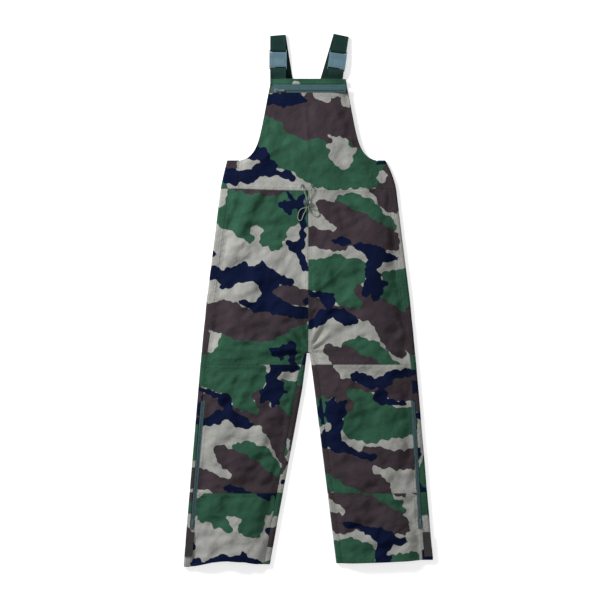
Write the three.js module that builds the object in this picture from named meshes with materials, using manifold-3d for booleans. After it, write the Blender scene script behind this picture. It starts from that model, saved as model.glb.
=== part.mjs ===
// Bib-and-brace overtrousers in printed cloth, lying on their back with the front facing up.
// Millimetres. X runs across the garment, Y from the hems to the shoulder straps, Z up from the floor.
// Left and right are as seen from the front.

import * as THREE from 'three';
import { mergeVertices } from 'three/addons/utils/BufferGeometryUtils.js';
import Module from 'manifold-3d';

const wasm = await Module();
wasm.setup();

// Overall lengths along the garment.
const bibTopY = 636;
const armholeY = 403;
const waistY = 322;
const crotchY = -150;
const kneeY = -182;
const shinY = -550;
const hemY = -750;
const strapTopY = 764;

// Half widths of the outline.
const bibTopHalf = 107;
const bibFlare = 44;
const armholeSharpness = 8;
const tabSeamX = 199;
const sideTopHalf = 236;
const waistHalf = 252;
const seatHalf = 292;
const kneeHalf = 310;
const hemHalf = 358;
const innerThighX = 17;
const innerThighY = -250;
const innerCrotchX = 4;
const wrapFullY = crotchY - 60;
const partingTopY = crotchY + 150;
const taperStartY = waistY - 120;
const innerHemX = { left: 110, right: 80 };
const sideInset = 24;
const kneeInset = 16;
const hemInset = { left: 16, right: 31 };
const inseamWrap = 17;

// Cloth, webbing and clearances.
const clothWall = 1.6;
const liningWall = 1.4;
const webWall = 1.8;
const gap = 0.3;
const pocketDepth = 5.5;
const legCrown = 12;
const bibCrown = 8;
const bellyY = 200;
const seatY = 50;
const rollWidth = 60;

// Bib zip and leg zips.
const bandDepth = 16;
const zipTapeWidth = 6;
const zipTapeWall = 0.8;
const zipSlit = 1.5;
const toothWidth = 2.2;
const toothHeight = 2.4;
const bibZipUpperTape = 17.7;
const bibZipCentreY = bibTopY - bandDepth - gap - bibZipUpperTape;
const bibZipFromX = 9 - bibTopHalf;
const bibZipToX = bibTopHalf - 5;
const legZipTopY = -285;
const legZipBottomY = -653;
const sliderLength = 11;
const sliderWidth = 2 * zipTapeWidth - 2.4;
const sliderPlate = 1.2;
const pullLength = 24;
const pullWidth = 6;
const guardWidth = 24;
const guardWall = 1.2;

// Straps and buckles.
const webWidth = 45;
const buckleWidth = webWidth + 5;
const buckleThickness = 11;
const buckleBack = -29;
const buckleMouth = 8;
const buckleFront = 29;
const buckleWall = 2;
const barWidth = 4;
const barHeight = 3.6;
const slotLength = 4;
const railInner = buckleWidth / 2 - 5;
const armSpread = buckleWidth / 2 - 2.5;
const foldRadius = 3;
const strapFootY = 480;
const strapFootMiddle = -15.5;
const strapFootSpacing = webWidth + 8;
const patchMargin = webWidth / 2 + 15.5;
const patchLeft = strapFootMiddle - strapFootSpacing / 2 - patchMargin;
const patchRight = strapFootMiddle + strapFootSpacing / 2 + patchMargin + 1;
const patchTaper = 10;
const buckleFromTop = { left: 72, right: 75 };
const yokeTopY = 432;

// Waist drawcord.
const channelY = waistY + 7;
const channelDepth = 26;
const channelBottomY = channelY - channelDepth / 2;
const channelTopY = channelY + channelDepth / 2;
const channelWall = 2.6;
const cordDiameter = 2.6;
const eyeletBore = cordDiameter / 2 + 0.9;
const eyeletBarrel = 0.7;
const eyeletFlange = 5;
const lockRadius = 8.5;
const lockBack = -10.5;
const lockFront = 6;
const lockFlatten = 0.72;
const plungerRadius = 4.6;
const plungerTravel = 2;
const springWire = 0.5;
const springTurns = 2.5;

// Hem tabs.
const tabWidth = 22;
const tabLength = 70;
const tabWall = 1.8;
const tabTopY = -662;

const edgeZ = webWall + 2 * gap + liningWall + pocketDepth;
const foldHeight = edgeZ + clothWall;
const edgeRoll = foldHeight / 2;

const finish = (color, roughness, metalness = 0) =>
  new THREE.MeshStandardMaterial({ color, roughness, metalness });
const materials = {
  printedCloth: finish(0x41664f, 0.85),
  lining: finish(0x3c4a3f, 0.9),
  webbing: finish(0x1d352e, 0.85),
  zipTape: finish(0x3c5f66, 0.85),
  zipMetal: finish(0xb9bdbd, 0.35, 0.9),
  buckle: finish(0x5f7d87, 0.5),
  cord: finish(0x7c8878, 0.8),
  lock: finish(0x56625c, 0.45),
  spring: finish(0xa9adb0, 0.3, 0.9),
  hookTape: finish(0x23262a, 0.95),
};

const garment = new THREE.Group();

// Straight interpolation through [position, value] pairs in rising or falling order.
function along(points, at) {
  const sorted = [...points].sort((a, b) => a[0] - b[0]);
  if (at <= sorted[0][0]) return sorted[0][1];
  for (let i = 1; i < sorted.length; i += 1) {
    const [p0, v0] = sorted[i - 1];
    const [p1, v1] = sorted[i];
    if (at <= p1) return v0 + (v1 - v0) * (at - p0) / (p1 - p0);
  }
  return sorted.at(-1)[1];
}

const steps = (from, to, count) =>
  Array.from({ length: count + 1 }, (_, i) => from + (to - from) * i / count);

// The same solid with its faces turned outwards.
function outward(geometry) {
  const place = geometry.getAttribute('position');
  const index = geometry.getIndex().array;
  const [a, b, c] = [new THREE.Vector3(), new THREE.Vector3(), new THREE.Vector3()];
  let volume = 0;
  for (let i = 0; i < index.length; i += 3) {
    a.fromBufferAttribute(place, index[i]);
    b.fromBufferAttribute(place, index[i + 1]);
    c.fromBufferAttribute(place, index[i + 2]);
    volume += a.dot(b.cross(c));
  }
  if (volume < 0) {
    for (let i = 0; i < index.length; i += 3) [index[i + 1], index[i + 2]] = [index[i + 2], index[i + 1]];
  }
  return geometry;
}

function bare(geometry) {
  const copy = geometry.index ? geometry.clone() : geometry;
  copy.deleteAttribute('normal');
  copy.deleteAttribute('uv');
  return mergeVertices(copy, 1e-4);
}

const solid = (geometry) => {
  const merged = outward(bare(geometry));
  return new wasm.Manifold(new wasm.Mesh({
    numProp: 3,
    vertProperties: new Float32Array(merged.getAttribute('position').array),
    triVerts: new Uint32Array(merged.getIndex().array),
  }));
};

function geometryOf(manifold) {
  const mesh = manifold.getMesh();
  const geometry = new THREE.BufferGeometry();
  geometry.setAttribute('position', new THREE.BufferAttribute(new Float32Array(mesh.vertProperties), 3));
  geometry.setIndex(new THREE.BufferAttribute(new Uint32Array(mesh.triVerts), 1));
  return geometry;
}

function add(name, geometry, material, parent = garment) {
  const mesh = new THREE.Mesh(outward(bare(geometry)), material);
  mesh.name = name;
  parent.add(mesh);
  return mesh;
}

// A closed sheet between two grids of points, outside[row][column] and inside[row][column].
function sheet(outside, inside) {
  const rows = outside.length - 1;
  const columns = outside[0].length - 1;
  const geometry = new THREE.BoxGeometry(1, 1, 1, columns, rows, 1);
  const place = geometry.getAttribute('position');
  for (let i = 0; i < place.count; i += 1) {
    const column = Math.round((place.getX(i) + 0.5) * columns);
    const row = Math.round((place.getY(i) + 0.5) * rows);
    const grid = place.getZ(i) > 0 ? outside : inside;
    place.setXYZ(i, ...grid[row][column]);
  }
  return geometry;
}

const box = (x0, x1, y0, y1, z0, z1) =>
  new THREE.BoxGeometry(x1 - x0, y1 - y0, z1 - z0)
    .translate((x0 + x1) / 2, (y0 + y1) / 2, (z0 + z1) / 2);

const plate = (points, z0, z1) =>
  new THREE.ExtrudeGeometry(new THREE.Shape(points.map(([x, y]) => new THREE.Vector2(x, y))),
    { depth: z1 - z0, bevelEnabled: false }).translate(0, 0, z0);

// ---- Outline of the garment ----

const outerX = (y) => along(
  [[hemY, hemHalf], [kneeY, kneeHalf], [0, seatHalf], [waistY, waistHalf], [armholeY, sideTopHalf]], y);

const armRise = bibTopY - armholeY;
function bibX(y) {
  if (y <= armholeY + 2) return tabSeamX;
  const share = Math.min(1, (bibTopY - y) / armRise);
  const lean = bibTopHalf + bibFlare * share;
  return lean + (tabSeamX - bibTopHalf - bibFlare) * (1 - Math.sqrt(1 - share ** armholeSharpness));
}

const seamX = (side, y) => along([
  [hemY, hemHalf - hemInset[side]], [kneeY, kneeHalf - kneeInset],
  [0, seatHalf - sideInset], [waistY, waistHalf - sideInset]], y);

const innerX = (side, y) => along(
  [[hemY, innerHemX[side]], [innerThighY, innerThighX], [crotchY, innerCrotchX]], y);

// How far a leg's back wraps over the front at its inner seam.
const wrapAt = (y) => along([[crotchY, edgeRoll + 1], [wrapFullY, inseamWrap]], y);

const slotHalf = zipTapeWidth + gap;
const edgeFlat = slotHalf + 2;

// Height of the front layer's underside. It rises from the side seams in a soft roll, and dips to the
// inner seams where the legs part.
const roll = (distance) => 1 - (1 - Math.min(Math.max(distance, 0) / rollWidth, 1)) ** 2.5;

function frontZ(side, x, y) {
  const trunkEdge = along([[taperStartY, seamX(side, y)], [waistY, tabSeamX]], y);
  const edge = y > waistY ? bibX(y) : trunkEdge;
  const outer = roll(edge - edgeFlat - Math.abs(x));
  const parting = along([[crotchY, 1], [partingTopY, 0]], y);
  const inner = roll(Math.abs(x) - innerX(side, y) - inseamWrap);
  const rise = along([[seatY, legCrown], [bellyY, bibCrown]], y);
  return edgeZ + rise * outer * (1 - parting * (1 - inner));
}

// A panel of the front layer. rows are its heights along the garment, from and to its two side edges.
function frontPanel({ side, sign, rows, columns, from, to, drop = 0, wall = clothWall }) {
  const across = (y) => [...steps(from(y), to(y) - edgeFlat, columns - 1), to(y)];
  const grid = (lift) => rows.map((y) => across(y).map((distance) => {
    const x = sign * distance;
    return [x, y, frontZ(side, x, y) - drop + lift];
  }));
  return sheet(grid(wall), grid(0));
}

// ---- Legs and seat ----

const sides = [['left', -1], ['right', 1]];

// Outside of a back panel's cross-section: [distance from the middle, height, and the outward normal].
function backSection(side, y, wrapped) {
  const outer = outerX(y);
  const inner = innerX(side, y);
  const arc = (centre, fromAngle, toAngle) => steps(fromAngle, toAngle, 4).map((degrees) => {
    const angle = THREE.MathUtils.degToRad(degrees);
    return [centre + edgeRoll * Math.cos(angle), edgeRoll + edgeRoll * Math.sin(angle),
      Math.cos(angle), Math.sin(angle)];
  });
  const wrap = wrapAt(y);
  const start = wrapped
    ? [[inner + wrap - gap / 2, foldHeight, 0, 1], ...arc(inner + edgeRoll, 90, 270)]
    : [[gap / 2, 0, 0, -1]];
  const middle = steps(inner + edgeRoll, outer - edgeRoll, 3).slice(1, -1).map((x) => [x, 0, 0, -1]);
  return [...start, ...middle, ...arc(outer - edgeRoll, -90, 90),
    [seamX(side, y) + gap / 2, foldHeight, 0, 1]];
}

function backPanel(side, sign, rows, wrapped) {
  const grid = (inset) => rows.map((y) => backSection(side, y, wrapped).map(([x, z, nx, nz]) =>
    [sign * (x - nx * inset), y, z - nz * inset]));
  return sheet(grid(0), grid(clothWall));
}

// The straight line of a leg zip, as a turned frame: local X runs along the zip, upwards.
function legZipPlace(side, sign, height) {
  const bottom = new THREE.Vector3(sign * seamX(side, legZipBottomY), legZipBottomY, height);
  const top = new THREE.Vector3(sign * seamX(side, legZipTopY), legZipTopY, height);
  const angle = Math.atan2(top.y - bottom.y, top.x - bottom.x);
  return { bottom, angle, length: top.distanceTo(bottom) };
}

function zipSlot(side, sign) {
  const { bottom, angle, length } = legZipPlace(side, sign, 0);
  return solid(box(-gap, length + gap, -slotHalf, slotHalf, -1, 60).rotateZ(angle)
    .translate(bottom.x, bottom.y, foldHeight - clothWall - 2));
}

for (const [side, sign] of sides) {
  const slot = zipSlot(side, sign);
  const slotted = (geometry) => geometryOf(solid(geometry).subtract(slot));
  const seam = (y) => seamX(side, y) - gap / 2;
  const inseam = (y) => (y > crotchY + gap ? gap / 2 : innerX(side, y)
    + wrapAt(y) + gap / 2);
  const trunkRows = [(crotchY + partingTopY) / 2, partingTopY, seatY, (seatY + bellyY) / 2, bellyY];

  add(`thigh_front_${side}`, frontPanel({
    side, sign, columns: 8, from: inseam, to: seam,
    rows: [kneeY + gap / 2, crotchY + gap, crotchY + 3 * gap, ...trunkRows, channelBottomY - gap / 2],
  }), materials.printedCloth);
  add(`knee_front_${side}`, slotted(frontPanel({
    side, sign, columns: 8, from: inseam, to: seam,
    rows: [...steps(shinY + gap / 2, innerThighY, 4), wrapFullY, kneeY - gap / 2],
  })), materials.printedCloth);
  add(`shin_front_${side}`, slotted(frontPanel({
    side, sign, columns: 8, from: inseam, to: seam, rows: steps(hemY, shinY - gap / 2, 2),
  })), materials.printedCloth);
  add(`seat_back_${side}`, backPanel(side, sign,
    [crotchY + gap / 2, ...trunkRows, waistY - gap / 2], false), materials.printedCloth);
  add(`leg_back_${side}`, slotted(backPanel(side, sign,
    [...steps(hemY, innerThighY, 4), wrapFullY, kneeY, crotchY - gap / 2], true)), materials.printedCloth);
}

// ---- Waist ----

const eyeletAt = [[-17, channelY], [11, channelY]];
const channelZ = frontZ('left', 0, waistY);

function waistChannel() {
  const across = [-tabSeamX, ...steps(edgeFlat - tabSeamX, tabSeamX - edgeFlat, 14), tabSeamX];
  const grid = (lift) => [channelBottomY, channelTopY].map((y) => across.map((x) =>
    [x, y, frontZ('left', x, channelBottomY) + lift]));
  const holeRadius = eyeletBore + eyeletBarrel + gap;
  const hole = ([x, y]) => solid(new THREE.CylinderGeometry(holeRadius, holeRadius, 4 * channelWall, 20)
    .rotateX(Math.PI / 2).translate(x, y, channelZ));
  return eyeletAt.reduce((strip, at) => strip.subtract(hole(at)), solid(sheet(grid(channelWall), grid(0))));
}
add('waist_channel', geometryOf(waistChannel()), materials.printedCloth);

const eyeletProfile = [[eyeletBore, -channelWall], [eyeletBore + eyeletBarrel, -channelWall],
  [eyeletBore + eyeletBarrel, gap], [eyeletFlange, gap], [eyeletFlange, 1], [eyeletBore, 1.4],
  [eyeletBore, -channelWall]];
sides.forEach(([side], i) => {
  const ring = new THREE.LatheGeometry(eyeletProfile.map(([r, z]) => new THREE.Vector2(r, z)), 20);
  const [x, y] = eyeletAt[i];
  add(`eyelet_${side}`, ring.rotateX(Math.PI / 2).translate(x, y, channelZ + channelWall), materials.zipMetal);
});

// Elastic side panels fold round from the front to the back yoke.
for (const [side, sign] of sides) {
  const section = (y) => {
    const outer = outerX(y);
    const arc = steps(90, -90, 6).map((degrees) => {
      const angle = THREE.MathUtils.degToRad(degrees);
      return [outer - edgeRoll + edgeRoll * Math.cos(angle), edgeRoll + edgeRoll * Math.sin(angle),
        Math.cos(angle), Math.sin(angle)];
    });
    return [[tabSeamX + gap, foldHeight, 0, 1], ...arc, [tabSeamX + gap, 0, 0, -1]];
  };
  const grid = (inset) => steps(waistY + gap / 2, armholeY, 3).map((y) => section(y).map(([x, z, nx, nz]) =>
    [sign * (x - nx * inset), y, z - nz * inset]));
  add(`side_panel_${side}`, sheet(grid(0), grid(clothWall)), materials.printedCloth);
}

add('back_yoke', plate([
  [-tabSeamX, waistY + gap / 2], [tabSeamX, waistY + gap / 2], [tabSeamX, armholeY],
  [patchRight + 2 * patchTaper, yokeTopY], [patchLeft - patchTaper, yokeTopY], [-tabSeamX, armholeY],
], 0, clothWall), materials.printedCloth);

// ---- Bib ----

const armRows = steps(0, 80, 7).map((degrees) =>
  bibTopY - armRise * Math.cos(THREE.MathUtils.degToRad(degrees)));
const bibZipTop = bibZipCentreY + bibZipUpperTape;
const bibZipBottom = bibZipCentreY - slotHalf;

function bibPanel(rows, wall, drop = 0) {
  const across = (y) => [-bibX(y), ...steps(edgeFlat - bibX(y), bibX(y) - edgeFlat, 14), bibX(y)];
  const grid = (lift) => rows.map((y) => across(y).map((x) =>
    [x, y, frontZ('left', x, y) - drop + lift]));
  return sheet(grid(wall), grid(0));
}
add('bib_front', bibPanel([channelTopY + gap / 2, (channelTopY + armholeY) / 2,
  ...armRows.filter((y) => y < bibZipBottom - 10), bibZipBottom], clothWall), materials.printedCloth);
add('bib_top_band', bibPanel([bibTopY - bandDepth, bibTopY], clothWall), materials.printedCloth);
add('bib_lining', bibPanel([channelTopY + gap / 2, (channelTopY + armholeY) / 2,
  ...armRows.filter((y) => y < bibTopY - 10), bibTopY], liningWall, pocketDepth + liningWall), materials.lining);

// ---- Zips ----

// A zip along local X, its closed end at 0. Tapes lie at the local origin's height.
function zip({ name, place, length, tapeWidths, material }) {
  const rowsOf = new THREE.Group();
  rowsOf.position.copy(place.at);
  rowsOf.rotation.z = place.angle;
  garment.add(rowsOf);
  const inner = zipSlit / 2;
  const tape = (width, sign) => {
    const middle = zipTapeWall / 2;
    const low = middle - toothHeight / 2;
    const profile = [[inner, low], [inner + toothWidth, low], [inner + toothWidth, 0], [width, 0],
      [width, zipTapeWall], [inner + toothWidth, zipTapeWall], [inner + toothWidth, low + toothHeight],
      [inner, low + toothHeight]].map(([y, z]) => new THREE.Vector2(sign * y, z));
    return new THREE.ExtrudeGeometry(new THREE.Shape(profile), { depth: length, bevelEnabled: false })
      .rotateX(Math.PI / 2).rotateZ(Math.PI / 2);
  };
  add(`${name}_tape_upper`, tape(tapeWidths[0], 1), material, rowsOf);
  add(`${name}_tape_lower`, tape(tapeWidths[1], -1), material, rowsOf);

  const toothTop = zipTapeWall / 2 + toothHeight / 2;
  const toothBottom = zipTapeWall / 2 - toothHeight / 2;
  const plateTop = toothTop + gap + sliderPlate;
  const half = sliderWidth / 2;
  const x0 = gap;
  const x1 = gap + sliderLength;
  const middle = (x0 + x1) / 2;
  const bail = plate([[x0 + 1, plateTop - 0.4], [x0 + 2.2, plateTop - 0.4], [x0 + 2.2, plateTop + 2.2],
    [x1 - 2.2, plateTop + 2.2], [x1 - 2.2, plateTop - 0.4], [x1 - 1, plateTop - 0.4],
    [x1 - 1, plateTop + 3.4], [x0 + 1, plateTop + 3.4]], -0.8, 0.8).rotateX(Math.PI / 2);
  const slider = [
    box(x0, x1, -half, half, toothTop + gap, plateTop),
    box(x0, x1, -half, half, toothBottom - gap - sliderPlate, toothBottom - gap),
    box(middle, x1, -inner + gap, inner - gap, toothBottom - gap - 0.2, toothTop + gap + 0.2),
    bail,
  ].map(solid).reduce((whole, piece) => whole.add(piece));
  add(`${name}_slider`, geometryOf(slider), materials.zipMetal, rowsOf);

  const eye = 1.1;
  const pullHeight = plateTop + 1.1;
  const window = 6;
  const outline = new THREE.Shape([[-eye / 2, -pullWidth / 2], [pullLength - 2, -pullWidth / 2],
    [pullLength, -pullWidth / 2 + 2], [pullLength, pullWidth / 2 - 2], [pullLength - 2, pullWidth / 2],
    [-eye / 2, pullWidth / 2]].map(([x, y]) => new THREE.Vector2(x, y)));
  outline.holes.push(new THREE.Path([[eye / 2, -1.4], [eye / 2, 1.4], [eye / 2 + window, 1.4],
    [eye / 2 + window, -1.4]].map(([x, y]) => new THREE.Vector2(x, y))));
  add(`${name}_pull`, new THREE.ExtrudeGeometry(outline, { depth: eye, bevelEnabled: false })
    .translate(middle, 0, pullHeight - eye / 2), materials.zipMetal, rowsOf);
}

const bibZipZ = edgeZ + bibCrown;
zip({
  name: 'bib_zip', material: materials.zipTape, length: bibZipToX - bibZipFromX,
  tapeWidths: [bibZipUpperTape - gap, zipTapeWidth - gap],
  place: { at: new THREE.Vector3(bibZipFromX, bibZipCentreY, bibZipZ + clothWall / 2), angle: 0 },
});
for (const [side, sign] of sides) {
  const { bottom, angle, length } = legZipPlace(side, sign, foldHeight - clothWall / 2);
  zip({
    name: `leg_zip_${side}`, material: materials.zipTape, length,
    tapeWidths: [zipTapeWidth, zipTapeWidth], place: { at: bottom, angle },
  });
  const guard = add(`leg_zip_guard_${side}`, box(0, length, -guardWidth / 2, guardWidth / 2, 0, guardWall),
    materials.lining);
  guard.position.set(bottom.x - sign * 8, bottom.y, clothWall + 1);
  guard.rotation.z = angle;
}

// ---- Straps and buckles ----

// Webbing along a path of points, with its width lying along one direction at each point.
function webbing(path, width = webWidth) {
  const grid = (lift) => path.map(({ at, across }, i) => {
    const before = path[Math.max(i - 1, 0)].at;
    const after = path[Math.min(i + 1, path.length - 1)].at;
    const normal = after.clone().sub(before).cross(across).normalize().multiplyScalar(lift);
    return [-width / 2, width / 2].map((share) =>
      at.clone().addScaledVector(across, share).add(normal).toArray());
  });
  return sheet(grid(webWall / 2), grid(-webWall / 2));
}

const straps = [
  {
    side: 'left', lean: 0, at: [20 - bibTopHalf, strapTopY - buckleFromTop.left],
    foot: [strapFootMiddle - strapFootSpacing / 2, strapFootY], top: [20 - bibTopHalf, strapTopY],
  },
  {
    side: 'right', lean: -8, at: [bibTopHalf - 24, strapTopY - buckleFromTop.right],
    foot: [strapFootMiddle + strapFootSpacing / 2, strapFootY], top: [bibTopHalf - 13.5, strapTopY],
  },
];
const buckleZ = webWall + 2 * gap;
const barZ = buckleThickness / 2;

const loopRadius = Math.hypot(barWidth, barHeight) / 2 + gap + webWall / 2;

// Path points round a bar lying across the strap, in the buckle's own frame, from below to above it.
function roundBar(barY, endY, endLowZ, endHighZ, turn) {
  const arc = steps(0, 180, 6).map((degrees) => {
    const angle = THREE.MathUtils.degToRad(degrees);
    return [barY + turn * loopRadius * Math.sin(angle), barZ - loopRadius * Math.cos(angle)];
  });
  return [[endY[0], endLowZ], ...arc, [endY[1], endHighZ]];
}

function buckleFemale() {
  const half = buckleWidth / 2;
  const shell = solid(plate([[-half, buckleBack + 3], [-half + 3, buckleBack], [half - 3, buckleBack],
    [half, buckleBack + 3], [half, buckleMouth], [-half, buckleMouth]], 0, buckleThickness));
  const barFront = buckleBack + barWidth;
  const cavityBack = barFront + slotLength + 1.5;
  const cuts = [
    box(-railInner, railInner, cavityBack, buckleMouth + 1, buckleWall, buckleThickness - buckleWall),
    box(railInner - 3, half + 1, cavityBack, -5.5, buckleWall, buckleThickness - buckleWall),
    box(-half - 1, -railInner + 3, cavityBack, -5.5, buckleWall, buckleThickness - buckleWall),
    box(-webWidth / 2 - 0.8, webWidth / 2 + 0.8, barFront, barFront + slotLength, -1, buckleThickness + 1),
    box(-webWidth / 2 - 0.8, webWidth / 2 + 0.8, buckleBack - 1, barFront + 1, -1, barZ - barHeight / 2),
    box(-webWidth / 2 - 0.8, webWidth / 2 + 0.8, buckleBack - 1, barFront + 1, barZ + barHeight / 2,
      buckleThickness + 1),
  ];
  return geometryOf(cuts.reduce((whole, cut) => whole.subtract(solid(cut)), shell));
}

function buckleMale() {
  const half = buckleWidth / 2;
  const baseY = buckleMouth + gap;
  const barY = buckleFront - barWidth;
  const base = solid(plate([[-half, baseY], [half, baseY], [half, buckleFront - 3], [half - 3, buckleFront],
    [-half + 3, buckleFront], [-half, buckleFront - 3]], 1, buckleThickness - 1));
  const tongue = solid(box(-4, 4, -9, baseY + 1, 3, buckleThickness - 3));
  const webHalf = webWidth / 2 + 0.8;
  const cuts = [
    box(-webHalf, webHalf, barY - slotLength, barY, -1, buckleThickness + 1),
    box(-webHalf, webHalf, barY - 1, buckleFront + 1, -1, barZ - barHeight / 2),
    box(-webHalf, webHalf, barY - 1, buckleFront + 1, barZ + barHeight / 2, buckleThickness + 1),
  ];
  return geometryOf(cuts.reduce((whole, cut) => whole.subtract(solid(cut)), base.add(tongue)));
}

const buckleArm = (sign) => plate([[armSpread - 11, buckleMouth], [armSpread - 7, buckleMouth],
  [armSpread - 5.5, -6], [armSpread, -6], [armSpread - 1, -9], [armSpread - 4.5, -12.5],
  [armSpread - 9, -12.5]].map(([x, y]) => [sign * x, y]), 3, buckleThickness - 3);

for (const { side, at, lean, foot, top } of straps) {
  const frame = new THREE.Group();
  frame.position.set(at[0], at[1], buckleZ);
  frame.rotation.z = THREE.MathUtils.degToRad(lean);
  frame.updateMatrixWorld();
  garment.add(frame);
  add(`buckle_female_${side}`, buckleFemale(), materials.buckle, frame);
  add(`buckle_male_${side}`, buckleMale(), materials.buckle, frame);
  add(`buckle_arm_${side}_left`, buckleArm(-1), materials.buckle, frame);
  add(`buckle_arm_${side}_right`, buckleArm(1), materials.buckle, frame);

  const across = new THREE.Vector3(1, 0, 0);
  const bibZ = edgeZ + bibCrown + clothWall + gap + webWall / 2 - buckleZ;
  const stub = roundBar(buckleBack + barWidth / 2, [buckleBack - 7, buckleBack - 20],
    barZ - loopRadius, bibZ, 1)
    .map(([y, z]) => ({ at: new THREE.Vector3(0, y, z), across }));
  stub.push({ at: new THREE.Vector3(0, buckleBack - 44, bibZ), across });
  add(`strap_front_${side}`, webbing(stub), materials.webbing, frame);

  // The shoulder strap loops round the male half's bar, runs up and folds flat over its own top.
  const toWorld = ([y, z]) => frame.localToWorld(new THREE.Vector3(0, y, z));
  const acrossStrap = across.clone().transformDirection(frame.matrixWorld);
  const loop = roundBar(buckleFront - barWidth / 2, [buckleFront + 9, buckleFront + 22],
    barZ - loopRadius, 2 * foldRadius + webWall / 2 - buckleZ + 2, -1)
    .map((point) => ({ at: toWorld(point), across: acrossStrap }));
  const lowerWay = new THREE.Vector3(foot[0] - top[0], foot[1] - top[1], 0).normalize();
  const upperWay = new THREE.Vector3(-Math.sin(frame.rotation.z), Math.cos(frame.rotation.z), 0);
  const foldLine = upperWay.clone().add(lowerWay);
  foldLine.multiplyScalar(Math.sign(foldLine.x) || 1).normalize();
  const outWay = new THREE.Vector3(-foldLine.y, foldLine.x, 0);
  const fold = steps(90, -80, 7).map((degrees) => {
    const angle = THREE.MathUtils.degToRad(degrees);
    return {
      at: new THREE.Vector3(top[0], top[1] - foldRadius - webWall, webWall / 2 + foldRadius)
        .addScaledVector(outWay, foldRadius * Math.cos(angle))
        .add(new THREE.Vector3(0, 0, foldRadius * Math.sin(angle))),
      across: foldLine,
    };
  });
  add(`strap_upper_${side}`, webbing([...loop, ...fold]), materials.webbing);

  const lowerStart = new THREE.Vector3(top[0], top[1] - foldRadius - webWall - 1, webWall / 2);
  const lowerEnd = new THREE.Vector3(foot[0], foot[1], webWall / 2);
  const lowerAcross = new THREE.Vector3(-lowerWay.y, lowerWay.x, 0);
  add(`strap_lower_${side}`, webbing([
    { at: lowerStart, across: foldLine },
    { at: lowerStart.clone().lerp(lowerEnd, 0.15), across: lowerAcross },
    { at: lowerEnd, across: across.clone() },
  ]), materials.webbing);
}

add('strap_patch', plate([[patchLeft, yokeTopY + gap], [patchRight, yokeTopY + gap],
  [patchRight - patchTaper, strapFootY - gap], [patchLeft + patchTaper, strapFootY - gap]], 0, webWall),
materials.printedCloth);

// ---- Drawcord and cord lock ----

const clothTopZ = edgeZ + bibCrown + clothWall;
const lockAt = [-3, 281];
const lockZ = clothTopZ + gap + lockRadius * lockFlatten;
const cordOffset = 2.6;

// The cord's route: across, along, and its centre's height over the cloth at the waist.
const cordRoute = [
  [-17, 329, -0.6], [-17, 329, 2], [-16.9, 327.8, 5.6], [-16, 324.4, 7.8], [-12.8, 315.4, 7.9],
  [-8.6, 304.6, 6.9], [-6, 296, 6.4], [-5.6, 288, 6.4], [-5.6, 272, 6.4], [-5.9, 265.4, 6.1],
  [-8.2, 257.4, 4], [-12.4, 249.4, 1.9], [-16, 241, 1.5], [-18.3, 234, 1.5], [-22.6, 230, 1.5],
  [-28, 231.6, 1.5], [-30.2, 238.5, 1.5], [-29, 248, 1.5], [-25.4, 258, 1.5], [-17.6, 264.6, 1.5],
  [-8, 266.4, 1.5], [2, 265.6, 1.5], [12, 262.8, 1.5], [21.6, 259.6, 1.5], [29, 254.6, 1.5],
  [31.6, 247.6, 1.5], [27, 242, 1.5], [19.6, 242.4, 1.5], [11.6, 248, 1.6], [5.4, 255, 3.2],
  [0.6, 263.4, 5.7], [-0.4, 272, 6.4], [-0.4, 288, 6.4], [0, 296, 6.4], [2.6, 304.6, 6.9],
  [6.8, 315.4, 7.9], [10, 324.4, 7.8], [10.9, 327.8, 5.6], [11, 329, 2], [11, 329, -0.6],
].map(([x, y, above]) => new THREE.Vector3(x, y, clothTopZ + above));

function ring(radius, sides, squash = 1) {
  const outline = steps(0, 360, sides).slice(0, -1).map((degrees) => {
    const angle = THREE.MathUtils.degToRad(degrees);
    return new THREE.Vector2(radius * Math.cos(angle), squash * radius * Math.sin(angle));
  });
  return new THREE.Shape(outline);
}

add('drawcord', new THREE.ExtrudeGeometry(ring(cordDiameter / 2, 8), {
  steps: 78, bevelEnabled: false, extrudePath: new THREE.CatmullRomCurve3(cordRoute, false, 'centripetal'),
}), materials.cord);

// The lock is a barrel lying across the two cords, with a sprung plunger in its right-hand end.
const lockFrame = new THREE.Group();
lockFrame.position.set(lockAt[0], lockAt[1], lockZ);
garment.add(lockFrame);
const cordHole = cordDiameter / 2 + 0.5;
const boreRadius = plungerRadius + gap;
const boreBack = lockBack + 1.5;

const lathe = (profile, segments) => new THREE.LatheGeometry(
  profile.map(([r, x]) => new THREE.Vector2(r, x)), segments).rotateZ(-Math.PI / 2);
const lockMiddle = (lockBack + lockFront) / 2;
const barrel = lathe([[0, lockBack], [lockRadius - 3, lockBack], [lockRadius - 0.8, lockBack + 2.4],
  [lockRadius, lockMiddle], [lockRadius - 0.8, lockFront - 2.4], [lockRadius - 3, lockFront],
  [0, lockFront]], 24).scale(1, 1, lockFlatten);
const lockBore = lathe([[0, boreBack], [boreRadius, boreBack], [boreRadius, lockFront + 1],
  [0, lockFront + 1]], 20);
const cordSlot = box(-cordOffset - cordHole, cordOffset + cordHole, -20, 20, -cordHole, cordHole);
add('cord_lock_body', geometryOf(solid(barrel).subtract(solid(lockBore)).subtract(solid(cordSlot))),
  materials.lock, lockFrame);

const plungerBack = -cordOffset - cordHole - 1;
const plungerFront = lockFront + plungerTravel + 1;
const plunger = lathe([[0, plungerBack], [plungerRadius, plungerBack], [plungerRadius, plungerFront - 1],
  [plungerRadius - 1, plungerFront], [0, plungerFront]], 20);
const plungerSlot = box(-cordOffset - cordHole + gap, cordOffset + cordHole + plungerTravel, -20, 20,
  -cordHole, cordHole);
add('cord_lock_plunger', geometryOf(solid(plunger).subtract(solid(plungerSlot))), materials.lock, lockFrame);

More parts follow.
